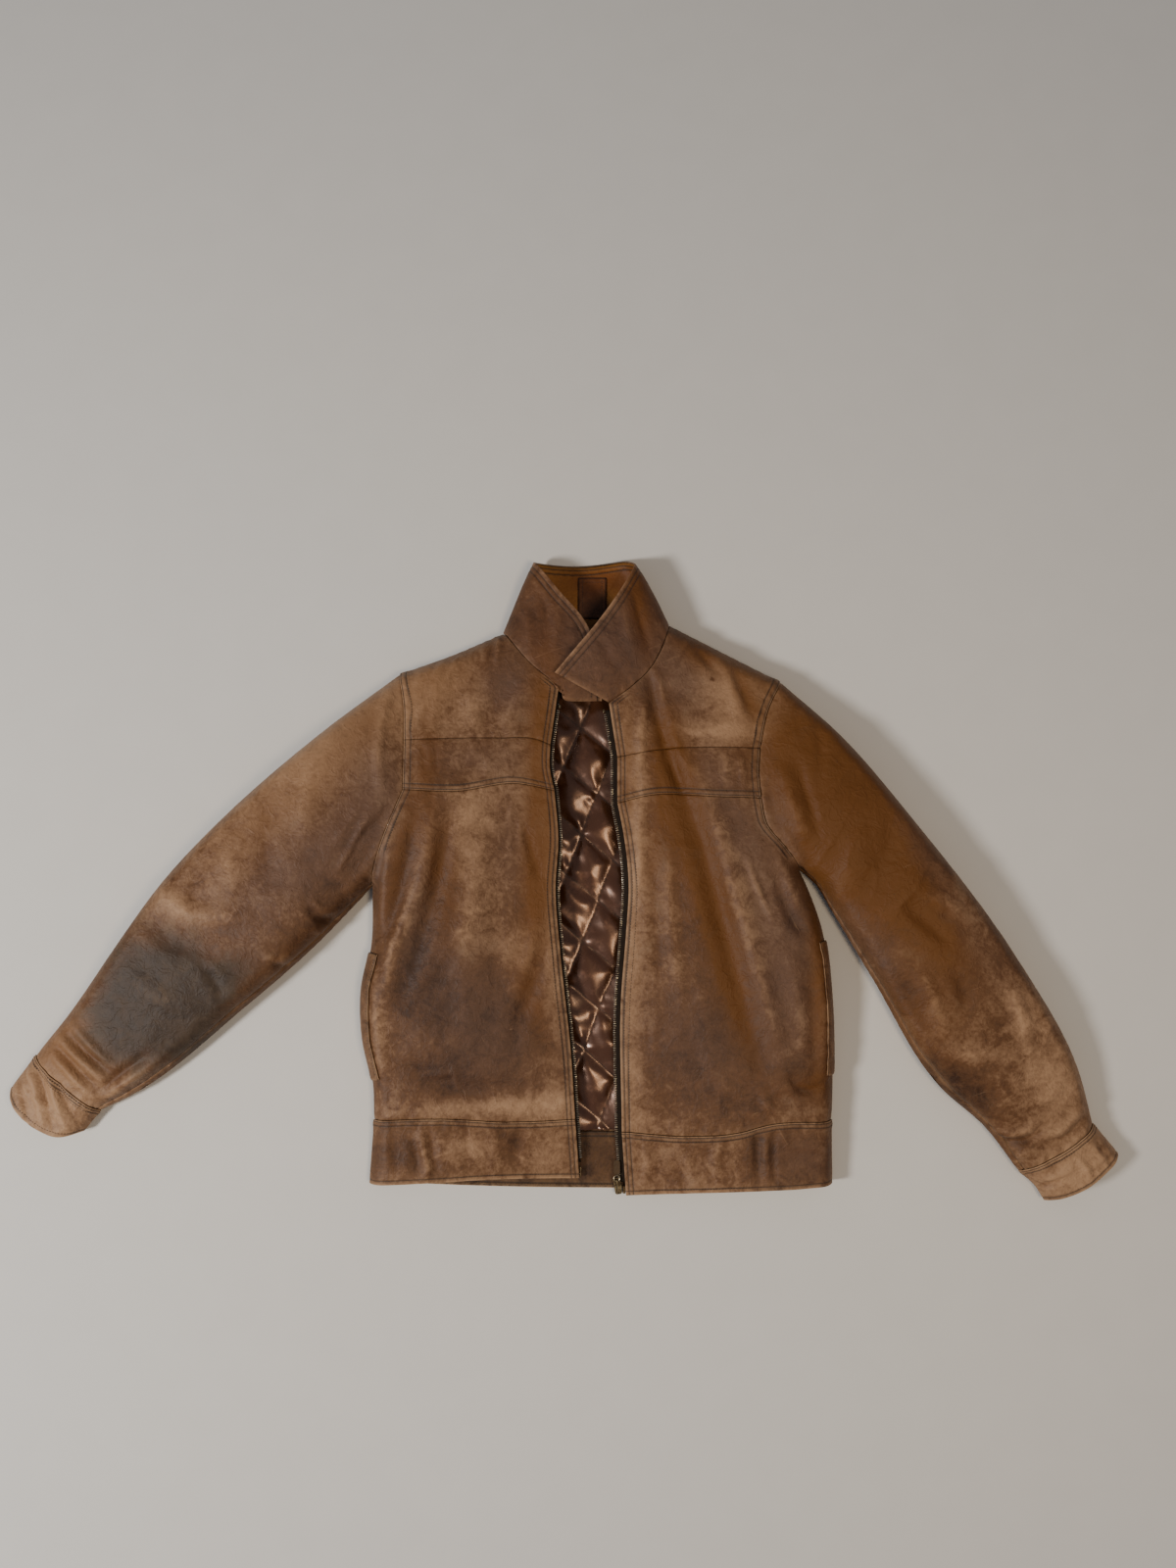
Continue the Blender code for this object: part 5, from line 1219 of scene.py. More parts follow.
def collar_cloth():
    sewn = neckline()
    neck_length = reach_of(layer(plan_line("left", "neck"), True))[-1]
    length = reach_of(sewn)[-1]
    shares = np.linspace(0.0, 1.0, round(length / STEPS["collar"]) + 1)
    sewn, free = at_reach(sewn, shares * length), collar_edge(shares)
    height = np.linalg.norm(free - sewn, axis=1)
    start, end = (np.array(spec["rows"]) * MM for spec in COLLAR_EDGES[:2])
    first, last = start[-1] / height, 1 - end[-1] / height
    rise = [at / height for at in start]
    rise += [first + (last - first) * k / COLLAR_ROWS for k in range(1, COLLAR_ROWS)]
    rise += [1 - at / height for at in end[::-1]]
    rise = np.clip(np.array(rise), 0.0, 1.0)[..., None]
    points = sewn * (1 - rise) + free * rise
    left_end = spline([sewn[0], *COLLAR_LEFT_END, free[0]], SPLINE_STEPS)
    dropped = at_reach(left_end, rise[:, 0, 0] * reach_of(left_end)[-1])
    pull = np.clip(1 - shares * length / (LEFT_END_SHARE * neck_length), 0.0, 1.0)[None, :, None]
    points += pull * (dropped - points[:, 0])[:, None]
    bulge = facing_of(points) * (np.sin(np.pi * rise) * COLLAR_BULGE * MM)
    standing = smooth((points[..., 2:] - LIES_BELOW) / STANDING_RISE)
    plan = points[..., :2]
    relief = creases_on(plan, ["collar"]) + lumps(plan, (0.8, 0.03, 51), (0.3, 0.012, 52)) * MM
    relief *= standing[..., 0]
    return Cloth(points + bulge * standing, COLLAR_EDGES, relief, plan, 120)


PATCH_EDGE = edge(stitches=(1.6,), rub=0.6)
PATCH_LIFT = 0.0014  # from the collar's inner face to the patch's outer face
PATCH_REACH = 0.0035  # the patch lies on the mean of the collar this far round
LYING_COLLAR = 0.016  # the part of the collar below this height lies under the patch


def neck_patch_cloth(collar):
    """The plain patch sewn inside the back of the neck, lying on the collar's inner face."""
    low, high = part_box("neck_patch")
    inner_face = (collar.points - collar.facing * COLLAR_WALL).reshape(-1, 3)
    across, down = (np.arange(low[k], high[k], STEPS["patch"]) for k in (0, 1))
    plan = np.stack(np.meshgrid(across, down[::-1]), -1)
    apart = ((plan[:, :, None, :] - inner_face[None, None, :, :2]) ** 2).sum(-1)
    weights = np.exp(-apart / (2 * PATCH_REACH**2)) * (inner_face[:, 2] < LYING_COLLAR) + 1e-12
    rest = (weights * inner_face[:, 2]).sum(-1) / weights.sum(-1)
    points = np.concatenate([plan, (rest + PATCH_LIFT)[..., None]], -1)
    relief = 0.25 * MM * noise(plan, 0.009, 61)
    return Cloth(points, (PATCH_EDGE,) * 4, relief, plan, 130, outward=UP)


# -------------------------------------------------------------------------------- pocket welts, zip tapes
WELT_STITCH, WELT_WIDTH = 1.8, 12.0  # millimetres
WELT_EDGES = (edge(rub=0.6), edge(rub=0.6), edge(rub=0.7), edge(stitches=(WELT_STITCH,), pucker=0.3, rub=1.0))
WELT_ACROSS = np.concatenate([  # rows in millimetres from the jacket's side
    CUT_ROWS, np.linspace(4.4, 9.0, 4), WELT_WIDTH - np.array([*(WELT_STITCH - np.array(STITCH_ROWS)), 0.4, 0.0]),
])
WELT_INSET, WELT_BELLY = 0.0004, 0.8
BODY_MIDDLE = np.array((0.03, 0.0))


def welt_cloth(side):
    low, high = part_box(f"pocket_welt_{side}")
    line = plan_line(side, "side")
    inside = (line[:, 1] > low[1]) & (line[:, 1] < high[1])
    reach = reach_of(line)[inside]
    down = np.linspace(reach[0], reach[-1], round((reach[-1] - reach[0]) / STEPS["welt"]))
    along = at_reach(line, down)
    inward = np.gradient(along, axis=0)[:, ::-1] * (1, -1)
    inward = unit(inward) * np.sign((inward * (BODY_MIDDLE - along)).sum(-1, keepdims=True))
    across = WELT_ACROSS * MM + WELT_INSET
    plan = along[:, None] + inward[:, None] * across[None, :, None]
    base = layer(plan, True)
    facing = facing_of(base)
    facing *= np.sign((facing * UP).sum(-1, keepdims=True))
    belly = np.sin(np.pi * (across - across[0]) / (across[-1] - across[0]))[None, :, None] * WELT_BELLY * MM
    return Cloth(base + facing * (LEATHER + LIFT + belly), WELT_EDGES, relief_on(plan, side), plan, 140, outward=UP)


TAPE_UNDER = 0.010  # how far the tape runs on under the front
TAPE_SHOWS = {"left": 0.0030, "right": 0.0060}
TAPE_LOOK_IN = 0.008


def tape_line(side):
    """The front's edge between the tape's ends, with its inward direction over the cloth."""
    line = plan_line(side, "edge_yoke", "edge_band", "edge_low", "edge_waist", steps=16)
    low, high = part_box(f"zip_tape_{side}")
    inside = (line[:, 1] > low[1]) & (line[:, 1] < high[1])
    line = line[inside]
    along = at_reach(line, np.arange(0.0, reach_of(line)[-1], STEPS["tape"]))
    turn = -1 if side == "left" else 1
    inward = unit(np.gradient(along, axis=0))[:, ::-1] * (-turn, turn)
    edge_point, inner_point = (raised(plan, side) for plan in (along, along + inward * TAPE_LOOK_IN))
    return edge_point, unit(inner_point - edge_point)


def tape_cloth(side):
    edge_point, inward = tape_line(side)
    across = np.linspace(-TAPE_SHOWS[side], TAPE_UNDER, 9)
    points = edge_point[:, None] + inward[:, None] * across[None, :, None] - UP * (LEATHER + LIFT)
    relief = 0.3 * MM * noise(points[..., :2], 0.012, 71)
    return Cloth(points, (edge(),) * 4, relief, points[..., :2], 150, outward=UP)


TOOTH_PITCH = 0.0026
TEETH_START, TEETH_END = {"left": 0.020, "right": 0.005}, 0.004  # bare tape at the top and at the bottom
TOOTH_OUT = 0.0004  # a tooth's middle from the tape's edge
TOOTH_RINGS = [
    # out from the middle, half of the ring's size along the tape, half of its height
    (-0.0016, 0.00050, 0.00085),
    (0.0004, 0.00062, 0.00105),
    (0.0011, 0.00070, 0.00095),
    (0.0016, 0.00045, 0.00060),
]
RING_CORNERS = ((-1, -1), (1, -1), (1, 1), (-1, 1))


def add_teeth(side, material):
    """A row of metal teeth on the free edge of one half of the tape."""
    edge_point, inward = tape_line(side)
    free = edge_point - inward * (TAPE_SHOWS[side] + TOOTH_OUT) - UP * (LEATHER + LIFT + TAPE_WALL / 2)
    reach = reach_of(free)
    place = np.arange(TEETH_START[side], reach[-1] - TEETH_END, TOOTH_PITCH)
    centre, inwards = at_reach(free, place), np.stack([np.interp(place, reach, column) for column in inward.T], -1)
    forward = unit(at_reach(free, place + 0.001) - at_reach(free, place - 0.001))
    upward = unit(np.cross(forward, inwards)) * np.sign(np.cross(forward, inwards)[:, 2:])
    corners = [
        centre - inwards * out + forward * half_along * a + upward * half_up * b
        for out, half_along, half_up in TOOTH_RINGS for a, b in RING_CORNERS
    ]
    faces = tube_faces(len(centre), len(TOOTH_RINGS), len(RING_CORNERS))
    piece = add_mesh(f"{side}_zip_teeth", np.stack(corners, 1), faces, material)
    piece.data.shade_flat()
    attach(piece, "jacket")


# ------------------------------------------------------------------------------------------------- lining
# Quilting: one family of lines runs down to the right, and the other leans over as it rises.
QUILT_SLOPE, QUILT_LEAN = 0.84, 0.40
QUILT_X = 0.023  # where QUILT_LINES gives the first family's heights; the second family's places are at y = 0
QUILT_LINES = {"down": 0.505 - 0.0645 * np.arange(16), "across": -0.265 + 0.0530 * np.arange(12)}
QUILT_SHOWS = {"down": (-0.03, 0.085), "across": (-0.29, 0.27)}  # the span in x, and the span in y
QUILT_SWAY = 0.0016
LINING_HEIGHT = 0.0048
PUFF, PUFF_REACH = 6.5, 0.0120  # how high the padding stands, in millimetres, and how far from the stitches


def sway(plan):
    """How far the quilting strays from straight lines."""
    return QUILT_SWAY * np.stack([noise(plan, 0.05, 81), noise(plan, 0.05, 82)], -1)


def quilting(plan):
    """How far each point is from the nearest line of each family of quilting."""
    swayed = plan + sway(plan)
    x, y = swayed[..., 0], swayed[..., 1]
    first = np.min([np.abs(y - at + QUILT_SLOPE * (x - QUILT_X)) for at in QUILT_LINES["down"]], axis=0)
    second = np.min([np.abs(x - at - QUILT_LEAN * y) for at in QUILT_LINES["across"]], axis=0)
    return first * math.cos(math.atan(QUILT_SLOPE)), second * math.cos(math.atan(QUILT_LEAN))


def lining_cloth():
    lines = [spline(LINING_PLAN[name]) for name in ("top", "bottom", "outer", "inner")]
    plan = plan_grid(lines, (edge(),) * 4, STEPS["lining"])
    first, second = quilting(plan)
    near = np.minimum(first, second)
    puff = PUFF * (1 - np.exp(-near / PUFF_REACH))
    pulled = np.exp(-np.hypot(first, second) / 0.012) * noise(turned(plan, 35, 0.5), 0.012, 84)
    broad = noise(turned(plan, 55, 0.5), 0.026, 83) * smooth(near / 0.008)
    slack = 1.5 * noise(turned(plan, 100, 1.8), 0.036, 85)
    relief = np.maximum(puff + 1.6 * broad + 1.6 * pulled + slack, -0.4) * MM
    base = np.concatenate([plan, np.full(plan.shape[:2] + (1,), LINING_HEIGHT)], -1)
    cloth = Cloth(base, (edge(sink=0.4),) * 4, relief, plan, 160, outward=UP)
    # Painted shade along the quilting lines, where the padding is pulled down.
    cloth.masks["stitch"] = np.maximum(cloth.masks["stitch"], np.exp(-((near / 0.0009) ** 2)))
    return cloth


def quilt_runs(cloth):
    """Lines of thread on the lining where it shows, following the quilting."""
    flat, facing = cloth.points.reshape(-1, 3), cloth.facing.reshape(-1, 3)
    low, high = np.array(list(QUILT_SHOWS.values())).T
    runs = []
    for family, places in QUILT_LINES.items():
        along = np.linspace(*QUILT_SHOWS[family], 90)
        for at in places:
            plan = np.stack([along, at - QUILT_SLOPE * (along - QUILT_X)], -1)
            if family == "across":
                plan = np.stack([at + QUILT_LEAN * along, along], -1)
            plan = plan - sway(plan)
            plan = plan[((plan > low) & (plan < high)).all(-1)]
            if len(plan) < 3:
                continue
            index = [((flat[:, :2] - point) ** 2).sum(1).argmin() for point in plan]
            runs.append((np.column_stack([plan, flat[index, 2]]), facing[index]))
    return runs


# ------------------------------------------------------------------------------------------------ shaders
def is_socket(value):
    return isinstance(value, bpy.types.NodeSocket)


class Shader:
    """A node tree with short ways to add nodes to it."""

    def __init__(self, tree):
        self.tree = tree

    def feed(self, node, inputs):
        """Links the node's inputs to sockets, or sets them to plain values."""
        for name, value in inputs.items():
            if is_socket(value):
                self.tree.links.new(value, node.inputs[name])
            else:
                node.inputs[name].default_value = value

    def add(self, kind, inputs, **settings):
        made = self.tree.nodes.new(kind)
        for name, value in settings.items():
            setattr(made, name, value)
        self.feed(made, inputs)
        return made

    def math(self, operation, a, b=0.0, c=0.0, clamp=False):
        return self.add("ShaderNodeMath", {0: a, 1: b, 2: c}, operation=operation, use_clamp=clamp).outputs[0]

    def between(self, value, low, high):
        """0 below low, 1 above high, and smooth between them."""
        inputs = {"Value": value, "From Min": low, "From Max": high}
        return self.add("ShaderNodeMapRange", inputs, interpolation_type="SMOOTHSTEP").outputs[0]

    def noise(self, place, size, detail=2.0, rough=0.5, bend=0.0):
        inputs = {"Vector": place, "Scale": 1.0 / size, "Detail": detail, "Roughness": rough, "Distortion": bend}
        return self.add("ShaderNodeTexNoise", inputs).outputs["Fac"]

    def cells(self, place, size, feature):
        inputs = {"Vector": place, "Scale": 1.0 / size}
        return self.add("ShaderNodeTexVoronoi", inputs, feature=feature).outputs["Distance"]

    def stretched(self, place, degrees, scale):
        """The place turned about Z and then scaled, for marks that run one way."""
        turned_place = self.add("ShaderNodeMapping", {"Vector": place, "Rotation": (0, 0, math.radians(degrees))})
        return self.add("ShaderNodeMapping", {"Vector": turned_place.outputs[0], "Scale": scale}).outputs[0]

    def scatter(self, field, amount, base):
        """The base, moved up and down by a noise field."""
        return self.math("MULTIPLY_ADD", self.math("SUBTRACT", field, 0.5), amount, base)

    def mix(self, share, a, b, blend="MIX"):
        a, b = (colour if is_socket(colour) else (*colour, 1.0) for colour in (a, b))
        return self.add("ShaderNodeMix", {0: share, 6: a, 7: b}, data_type="RGBA", blend_type=blend).outputs[2]

    def tinted(self, colour, tint):
        return self.mix(1.0, colour, tint, "MULTIPLY")

    def bump(self, height):
        """A normal from a height in millimetres."""
        return self.add("ShaderNodeBump", {"Height": height, "Distance": MM, "Strength": 1.0}).outputs["Normal"]

    def use(self, shared, **values):
        """The outputs of a shared effect, with these inputs set."""
        return self.add("ShaderNodeGroup", values, node_tree=shared).outputs

    def ramp(self, value, stops):
        made = self.add("ShaderNodeValToRGB", {0: value})
        elements = made.color_ramp.elements
        while len(elements) < len(stops):
            elements.new(0.5)
        for element, (at, colour) in zip(elements, stops):
            element.position, element.color = at, (*colour, 1.0)
        return made.outputs[0]

    def mask(self, name):
        return self.add("ShaderNodeAttribute", {}, attribute_name=name).outputs["Fac"]

    def place(self):
        return self.add("ShaderNodeTexCoord", {}).outputs["Object"]


def effect(name, setting, default, outputs):
    """A shared effect as a node group. Returns its shader helper, its one setting and its output node."""
    tree = bpy.data.node_groups.new(name, "ShaderNodeTree")
    tree.interface.new_socket(setting, in_out="INPUT", socket_type="NodeSocketFloat").default_value = default
    for socket, kind in outputs.items():
        tree.interface.new_socket(socket, in_out="OUTPUT", socket_type=f"NodeSocket{kind}")
    given, result = tree.nodes.new("NodeGroupInput"), tree.nodes.new("NodeGroupOutput")
    return Shader(tree), given.outputs[setting], result


# Linear colours of the leather, from its darkest, in the painted shade of its folds, to where it is rubbed bare.
DARK, MID, PALE = (0.028, 0.0095, 0.0025), (0.104, 0.0445, 0.0165), (0.330, 0.195, 0.108)
RUBBED = (0.400, 0.240, 0.130)
# The stain's colour, then the colours of painted warm light and painted cool light.
STAIN, PAINTED_WARM_LIGHT, PAINTED_COOL_LIGHT = (0.036, 0.024, 0.015), (0.110, 0.036, 0.0018), (0.100, 0.055, 0.037)
SHADOWED = (0.012, 0.006, 0.003)
MID_TONE = 0.46  # the tone that MID stands for, where DARK stands at 0 and PALE at 1


def scaled(colour, amount):
    return tuple(amount * part for part in colour)


def leather_colour():
    """Waxed brown leather: mottled, pale where rubbed, with painted light on the ridges of its creases, painted shade
    in their troughs and along its stitch lines, and patches of painted warm and cool light.
    """
    s, base_tone, result = effect("leather colour", "Tone", 0.0, {"Color": "Color", "Roughness": "Float"})
    place = s.place()
    clouds, mottle = s.noise(place, 0.070, 4.0, 0.60, 0.8), s.noise(place, 0.018, 5.0, 0.62, 0.9)
    fine = s.noise(place, 0.0042, 3.0, 0.65)
    # The tone patches hold rubbed wear, and painted light and painted shade.
    tone = s.math("MULTIPLY_ADD", s.mask("tone"), 0.245, s.math("ADD", base_tone, MID_TONE))
    for field, amount in ((clouds, 0.62), (mottle, 0.82), (fine, 0.50)):
        tone = s.scatter(field, amount, tone)
    # Painted shade in the creases' troughs and painted light on their ridges.
    tone = s.math("MULTIPLY_ADD", s.mask("fold"), 0.100, tone)
    colour = s.ramp(tone, [(0.0, DARK), (MID_TONE, MID), (1.0, PALE)])

    # Patches of painted cool and warm light and the stain, broken up by the mottle.
    patchy = s.math("ADD", s.math("MULTIPLY", mottle, 1.3), 0.30)
    for name, shade, most in (("painted_cool_light", PAINTED_COOL_LIGHT, 0.55), ("painted_warm_light", PAINTED_WARM_LIGHT, 0.85)):
        share = s.math("MULTIPLY", s.mask(name), patchy)
        colour = s.mix(s.math("MINIMUM", s.math("MULTIPLY", share, most, clamp=True), most), colour, shade)
    soaked = s.scatter(mottle, 1.2, s.scatter(clouds, 1.7, s.mask("stain")))
    soaked = s.between(soaked, 0.10, 1.25)
    blotted = s.mix(s.between(mottle, 0.30, 0.75), scaled(STAIN, 0.60), scaled(STAIN, 1.2))
    colour = s.mix(s.math("MULTIPLY", soaked, 0.90), colour, blotted)

    # Scratches in two directions, then rubbed edges, and ridges that are paler, partly rubbed and partly painted
    # light. Stained places and the patches of painted warm light stay dark.
    streaks = s.noise(s.stretched(place, 62, (14.0, 260.0, 260.0)), 1.0, 2.0, 0.5, 0.4)
    crossed = s.noise(s.stretched(place, -20, (12.0, 240.0, 240.0)), 1.0, 2.0, 0.5, 0.6)
    scratched = s.math("ADD", s.between(streaks, 0.71, 0.80), s.between(crossed, 0.73, 0.82), clamp=True)
    worn = s.math("MULTIPLY", s.mask("rub"), s.between(mottle, 0.26, 0.60))
    ridge = s.math("MULTIPLY", s.between(s.mask("fold"), 0.55, 1.5), s.between(mottle, 0.38, 0.72))
    worn = s.math("MULTIPLY_ADD", ridge, 0.26, s.math("MULTIPLY", worn, 0.80), clamp=True)
    worn = s.math("MULTIPLY_ADD", scratched, 0.24, worn, clamp=True)
    worn = s.math("MULTIPLY", worn, s.math("MULTIPLY_ADD", soaked, -0.75, 1.0))
    warm_lit = s.math("MULTIPLY", s.mask("painted_warm_light"), 0.45, clamp=True)
    worn = s.math("MULTIPLY", worn, s.math("SUBTRACT", 1.0, warm_lit))
    colour = s.mix(worn, colour, RUBBED)

    # Dark specks, and painted shade along the stitch lines.
    specks = s.between(s.noise(place, 0.0022, 1.0), 0.70, 0.78)
    colour = s.mix(s.math("MULTIPLY", specks, 0.45), colour, DARK)
    colour = s.mix(s.math("MULTIPLY", s.mask("stitch"), 0.85), colour, SHADOWED)
    rough = s.math("MULTIPLY_ADD", worn, 0.10, s.math("MULTIPLY_ADD", mottle, 0.22, 0.48))
    s.feed(result, {"Color": colour, "Roughness": rough})
    return s.tree


def leather_grain():
    """Height in millimetres of the leather's pores, wrinkles and small crumples."""
    s, strength, result = effect("leather grain", "Strength", 1.0, {"Height": "Float"})
    place = s.place()
    warp = s.noise(place, 0.010, 2.0)
    shift = s.add("ShaderNodeCombineXYZ", {0: s.math("MULTIPLY", warp, 0.004), 1: s.math("MULTIPLY", warp, 0.003)})
    swayed = s.add("ShaderNodeVectorMath", {0: place, 1: shift.outputs[0]}, operation="ADD").outputs[0]
    pores = s.math("MULTIPLY", s.cells(swayed, 0.0011, "F1"), 0.05)
    wrinkle = s.between(s.cells(swayed, 0.0042, "DISTANCE_TO_EDGE"), 0.0, 0.16)
    height = s.math("MULTIPLY_ADD", wrinkle, 0.07, pores)
    soft = s.noise(place, 0.0075, 3.0, 0.6, 0.8)
    height = s.math("MULTIPLY_ADD", soft, 0.55, height)
    crumple = s.math("ABSOLUTE", s.math("SUBTRACT", s.noise(place, 0.016, 3.0, 0.55, 0.5), 0.5))
    height = s.math("MULTIPLY_ADD", s.between(crumple, 0.0, 0.10), -0.35, height)
    broad = s.noise(place, 0.034, 2.0, 0.5, 0.4)
    height = s.math("MULTIPLY_ADD", broad, 1.4, height)
    s.feed(result, {"Height": s.math("MULTIPLY", height, strength)})
    return s.tree


def woven():
    """Height and shade of a plain weave, for the zip's tape."""
    s, thread_size, result = effect("woven tape", "Thread", 0.0006, {"Height": "Float", "Shade": "Float"})
    place = s.place()
    bands = s.add("ShaderNodeTexWave", {"Vector": place, "Scale": 420.0, "Distortion": 0.8}, bands_direction="Y")
    ribs = s.add("ShaderNodeTexWave", {"Vector": place, "Scale": 300.0, "Distortion": 0.6}, bands_direction="X")
    height = s.math("MULTIPLY_ADD", bands.outputs["Fac"], 0.5, s.math("MULTIPLY", ribs.outputs["Fac"], 0.5))
    height = s.math("MULTIPLY", height, s.math("MULTIPLY", thread_size, 200.0))
    s.feed(result, {"Height": height, "Shade": s.math("MULTIPLY_ADD", height, 2.0, s.noise(place, 0.006, 2.0))})
    return s.tree


def worn_metal():
    """Old brass: dull and brown where nothing rubs it."""
    s, dullness, result = effect("worn metal", "Dullness", 0.4, {"Color": "Color", "Roughness": "Float"})
    place = s.place()
    patina = s.between(s.math("ADD", s.noise(place, 0.004, 4.0, 0.6), dullness), 0.75, 1.05)
    colour = s.mix(patina, (0.56, 0.40, 0.20), (0.16, 0.10, 0.05))
    s.feed(result, {"Color": colour, "Roughness": s.math("MULTIPLY_ADD", patina, 0.30, 0.26)})
    return s.tree


def creased_satin():
    """Satin that shines along its threads, with fine wrinkles pulled towards the quilting."""
    outputs = {"Color": "Color", "Height": "Float", "Roughness": "Float"}
    s, strength, result = effect("creased satin", "Strength", 1.0, outputs)
    place = s.place()
    pulls = s.noise(s.stretched(place, 55, (50.0, 130.0, 130.0)), 1.0, 1.5, 0.45, 0.8)
    crossed = s.noise(s.stretched(place, -35, (40.0, 110.0, 110.0)), 1.0, 1.5, 0.45, 0.8)
    height = s.math("MULTIPLY", s.math("ADD", pulls, crossed), s.math("MULTIPLY", strength, 0.16))
    dust = s.between(s.noise(place, 0.012, 4.0, 0.65), 0.50, 0.80)
    colour = s.mix(dust, (0.062, 0.024, 0.011), (0.112, 0.050, 0.027))
    # Painted shade along the quilting lines.
    colour = s.mix(s.math("MULTIPLY", s.mask("stitch"), 0.80), colour, (0.018, 0.008, 0.004))
    s.feed(result, {"Color": colour, "Height": height, "Roughness": s.math("MULTIPLY_ADD", dust, 0.14, 0.27)})
    return s.tree


def material(name):
    """A new material. Returns it with its helper and its Principled shader."""
    made = bpy.data.materials.new(name)
    made.use_nodes = True
    return made, Shader(made.node_tree), made.node_tree.nodes["Principled BSDF"]


def leather(name, tone=0.0, strength=1.0, tint=None):
    made, s, surface = material(name)
    found = s.use(LEATHER_COLOUR, Tone=tone)
    s.feed(surface, {
        "Base Color": found["Color"] if tint is None else s.tinted(found["Color"], tint),
        "Roughness": found["Roughness"], "Specular IOR Level": 0.26,
        "Sheen Weight": 0.04, "Sheen Roughness": 0.55, "Sheen Tint": (0.85, 0.68, 0.56, 1.0),
        "Normal": s.bump(s.use(LEATHER_GRAIN, Strength=strength)["Height"]),
    })
    return made


def satin(name):
    made, s, surface = material(name)
    found = s.use(SATIN)
    s.feed(surface, {
        "Base Color": found["Color"], "Roughness": found["Roughness"], "Metallic": 0.30, "Anisotropic": 0.30,
        "Specular IOR Level": 0.80, "Specular Tint": (1.0, 0.78, 0.66, 1.0),
        "Coat Weight": 0.45, "Coat Roughness": 0.24, "Coat Tint": (1.0, 0.80, 0.66, 1.0),
        "Normal": s.bump(found["Height"]),
    })
    return made


def tape_cloth_material():
    made, s, surface = material("zip tape weave")
    found = s.use(WOVEN)
    colour = s.mix(found["Shade"], (0.007, 0.0045, 0.003), (0.018, 0.011, 0.007))
    bump = s.bump(found["Height"])
    s.feed(surface, {"Base Color": colour, "Roughness": 0.85, "Specular IOR Level": 0.15, "Normal": bump})
    return made


def metal(name, dullness, tint):
    made, s, surface = material(name)
    found = s.use(METAL, Dullness=dullness)
    colour = s.tinted(found["Color"], tint)
    s.feed(surface, {"Base Color": colour, "Roughness": found["Roughness"], "Metallic": 1.0})
    return made


def thread(name, colour):
    made, s, surface = material(name)
    shade = s.mix(s.noise(s.place(), 0.004, 3.0), scaled(colour, 0.55), colour)
    twist = s.math("MULTIPLY", s.noise(s.stretched(s.place(), 45, (2500.0, 900.0, 900.0)), 1.0), 0.08)
    s.feed(surface, {"Base Color": shade, "Roughness": 0.7, "Normal": s.bump(twist)})
    return made


def pale_floor():
    made, s, surface = material("pale floor")
    shade = s.mix(s.noise(s.place(), 0.05, 3.0), (0.60, 0.58, 0.545), (0.63, 0.61, 0.575))
    s.feed(surface, {"Base Color": shade, "Roughness": 0.85, "Specular IOR Level": 0.2})
    return made


LEATHER_COLOUR, LEATHER_GRAIN = leather_colour(), leather_grain()
SATIN, WOVEN, METAL = creased_satin(), woven(), worn_metal()

brown = leather("brown leather", strength=0.7)
cuff_leather = leather("rubbed cuff leather", tone=0.10, strength=0.8)
collar_leather = leather("collar leather", tone=-0.06, strength=0.6, tint=(0.95, 0.90, 0.90))
facing_leather = leather("facing leather", tone=-0.18, strength=0.5, tint=(0.85, 0.88, 0.85))
# The collar's inner leather is paler and more orange: painted warm light on the collar's back, which lies in the key
# light's shade.
collar_inside_warm_lit = leather("collar's inner leather in painted warm light", tone=0.46, strength=0.5, tint=(1.0, 0.72, 0.22))
patch_leather = leather("neck patch leather", tone=-0.26, strength=0.5, tint=(0.95, 0.75, 0.70))
tab_leather = leather("pull tab leather", tone=-0.14, strength=0.5, tint=(0.62, 0.80, 0.85))
lining_satin = satin("quilted satin")
tape_weave = tape_cloth_material()
brass, dull_brass = metal("worn brass", 0.44, (0.45, 0.52, 0.62)), metal("dull brass", 0.52, (0.6, 0.66, 0.75))
ring_brass = metal("rubbed ring", 0.30, (0.72, 0.82, 1.05))
tooth_metal = metal("dark teeth", 0.46, (0.55, 0.70, 1.10))
seam_thread = thread("seam thread", (0.055, 0.032, 0.020))
quilt_thread = thread("quilting thread", (0.030, 0.014, 0.008))


# --------------------------------------------------------------------------------------------- the jacket
def on_both_faces(runs, wall):
    """These lines, and the same lines on the inner face of the wall."""
    return runs + [(points - facing * wall, -facing) for points, facing in runs]


def all_stitch_lines(cloth, *numbers, **ends):
    """The stitch lines beside these edges of the cloth."""
    return [line for number in numbers for line in cloth.stitch_lines(number, **ends)]


def add_front(side):
    stitched = []
    for name, node in (("yoke", "yoke"), ("band", "chest_band"), ("front", "front"), ("waistband", "waistband")):
        cloth = front_panel(side, name)
        inside, rests_on = lining_satin, ["back_panel", "quilted_lining"]
        if name == "waistband":
            inside, rests_on = facing_leather, ["back_waistband"]
        piece_name = f"{side}_{'chest_panel' if name == 'band' else name}"
        add_cloth(piece_name, f"{node}_{side}", cloth, brown, inside, PANEL_WALL)
        stitched += all_stitch_lines(cloth, 0, 1, 2, 3)
    add_thread(f"{side}_front_stitches", stitched, seam_thread)


def add_sleeve(side):
    for part, cloth, rests_on in zip(("top", "under"), sleeve_pieces(side), (f"{side}_sleeve_under", "floor")):
        name, node = f"{side}_sleeve_{part}", f"sleeve_{part}_{side}"
        add_cloth(name, node, cloth, brown, lining_satin, PANEL_WALL)
    cuff = cuff_ring(side)
    name = f"{side}_cuff"
    add_cloth(name, f"cuff_{side}", cuff, cuff_leather, facing_leather, CUFF_WALL)
    add_thread(f"{name}_stitches", all_stitch_lines(cuff, 0, 1), seam_thread)


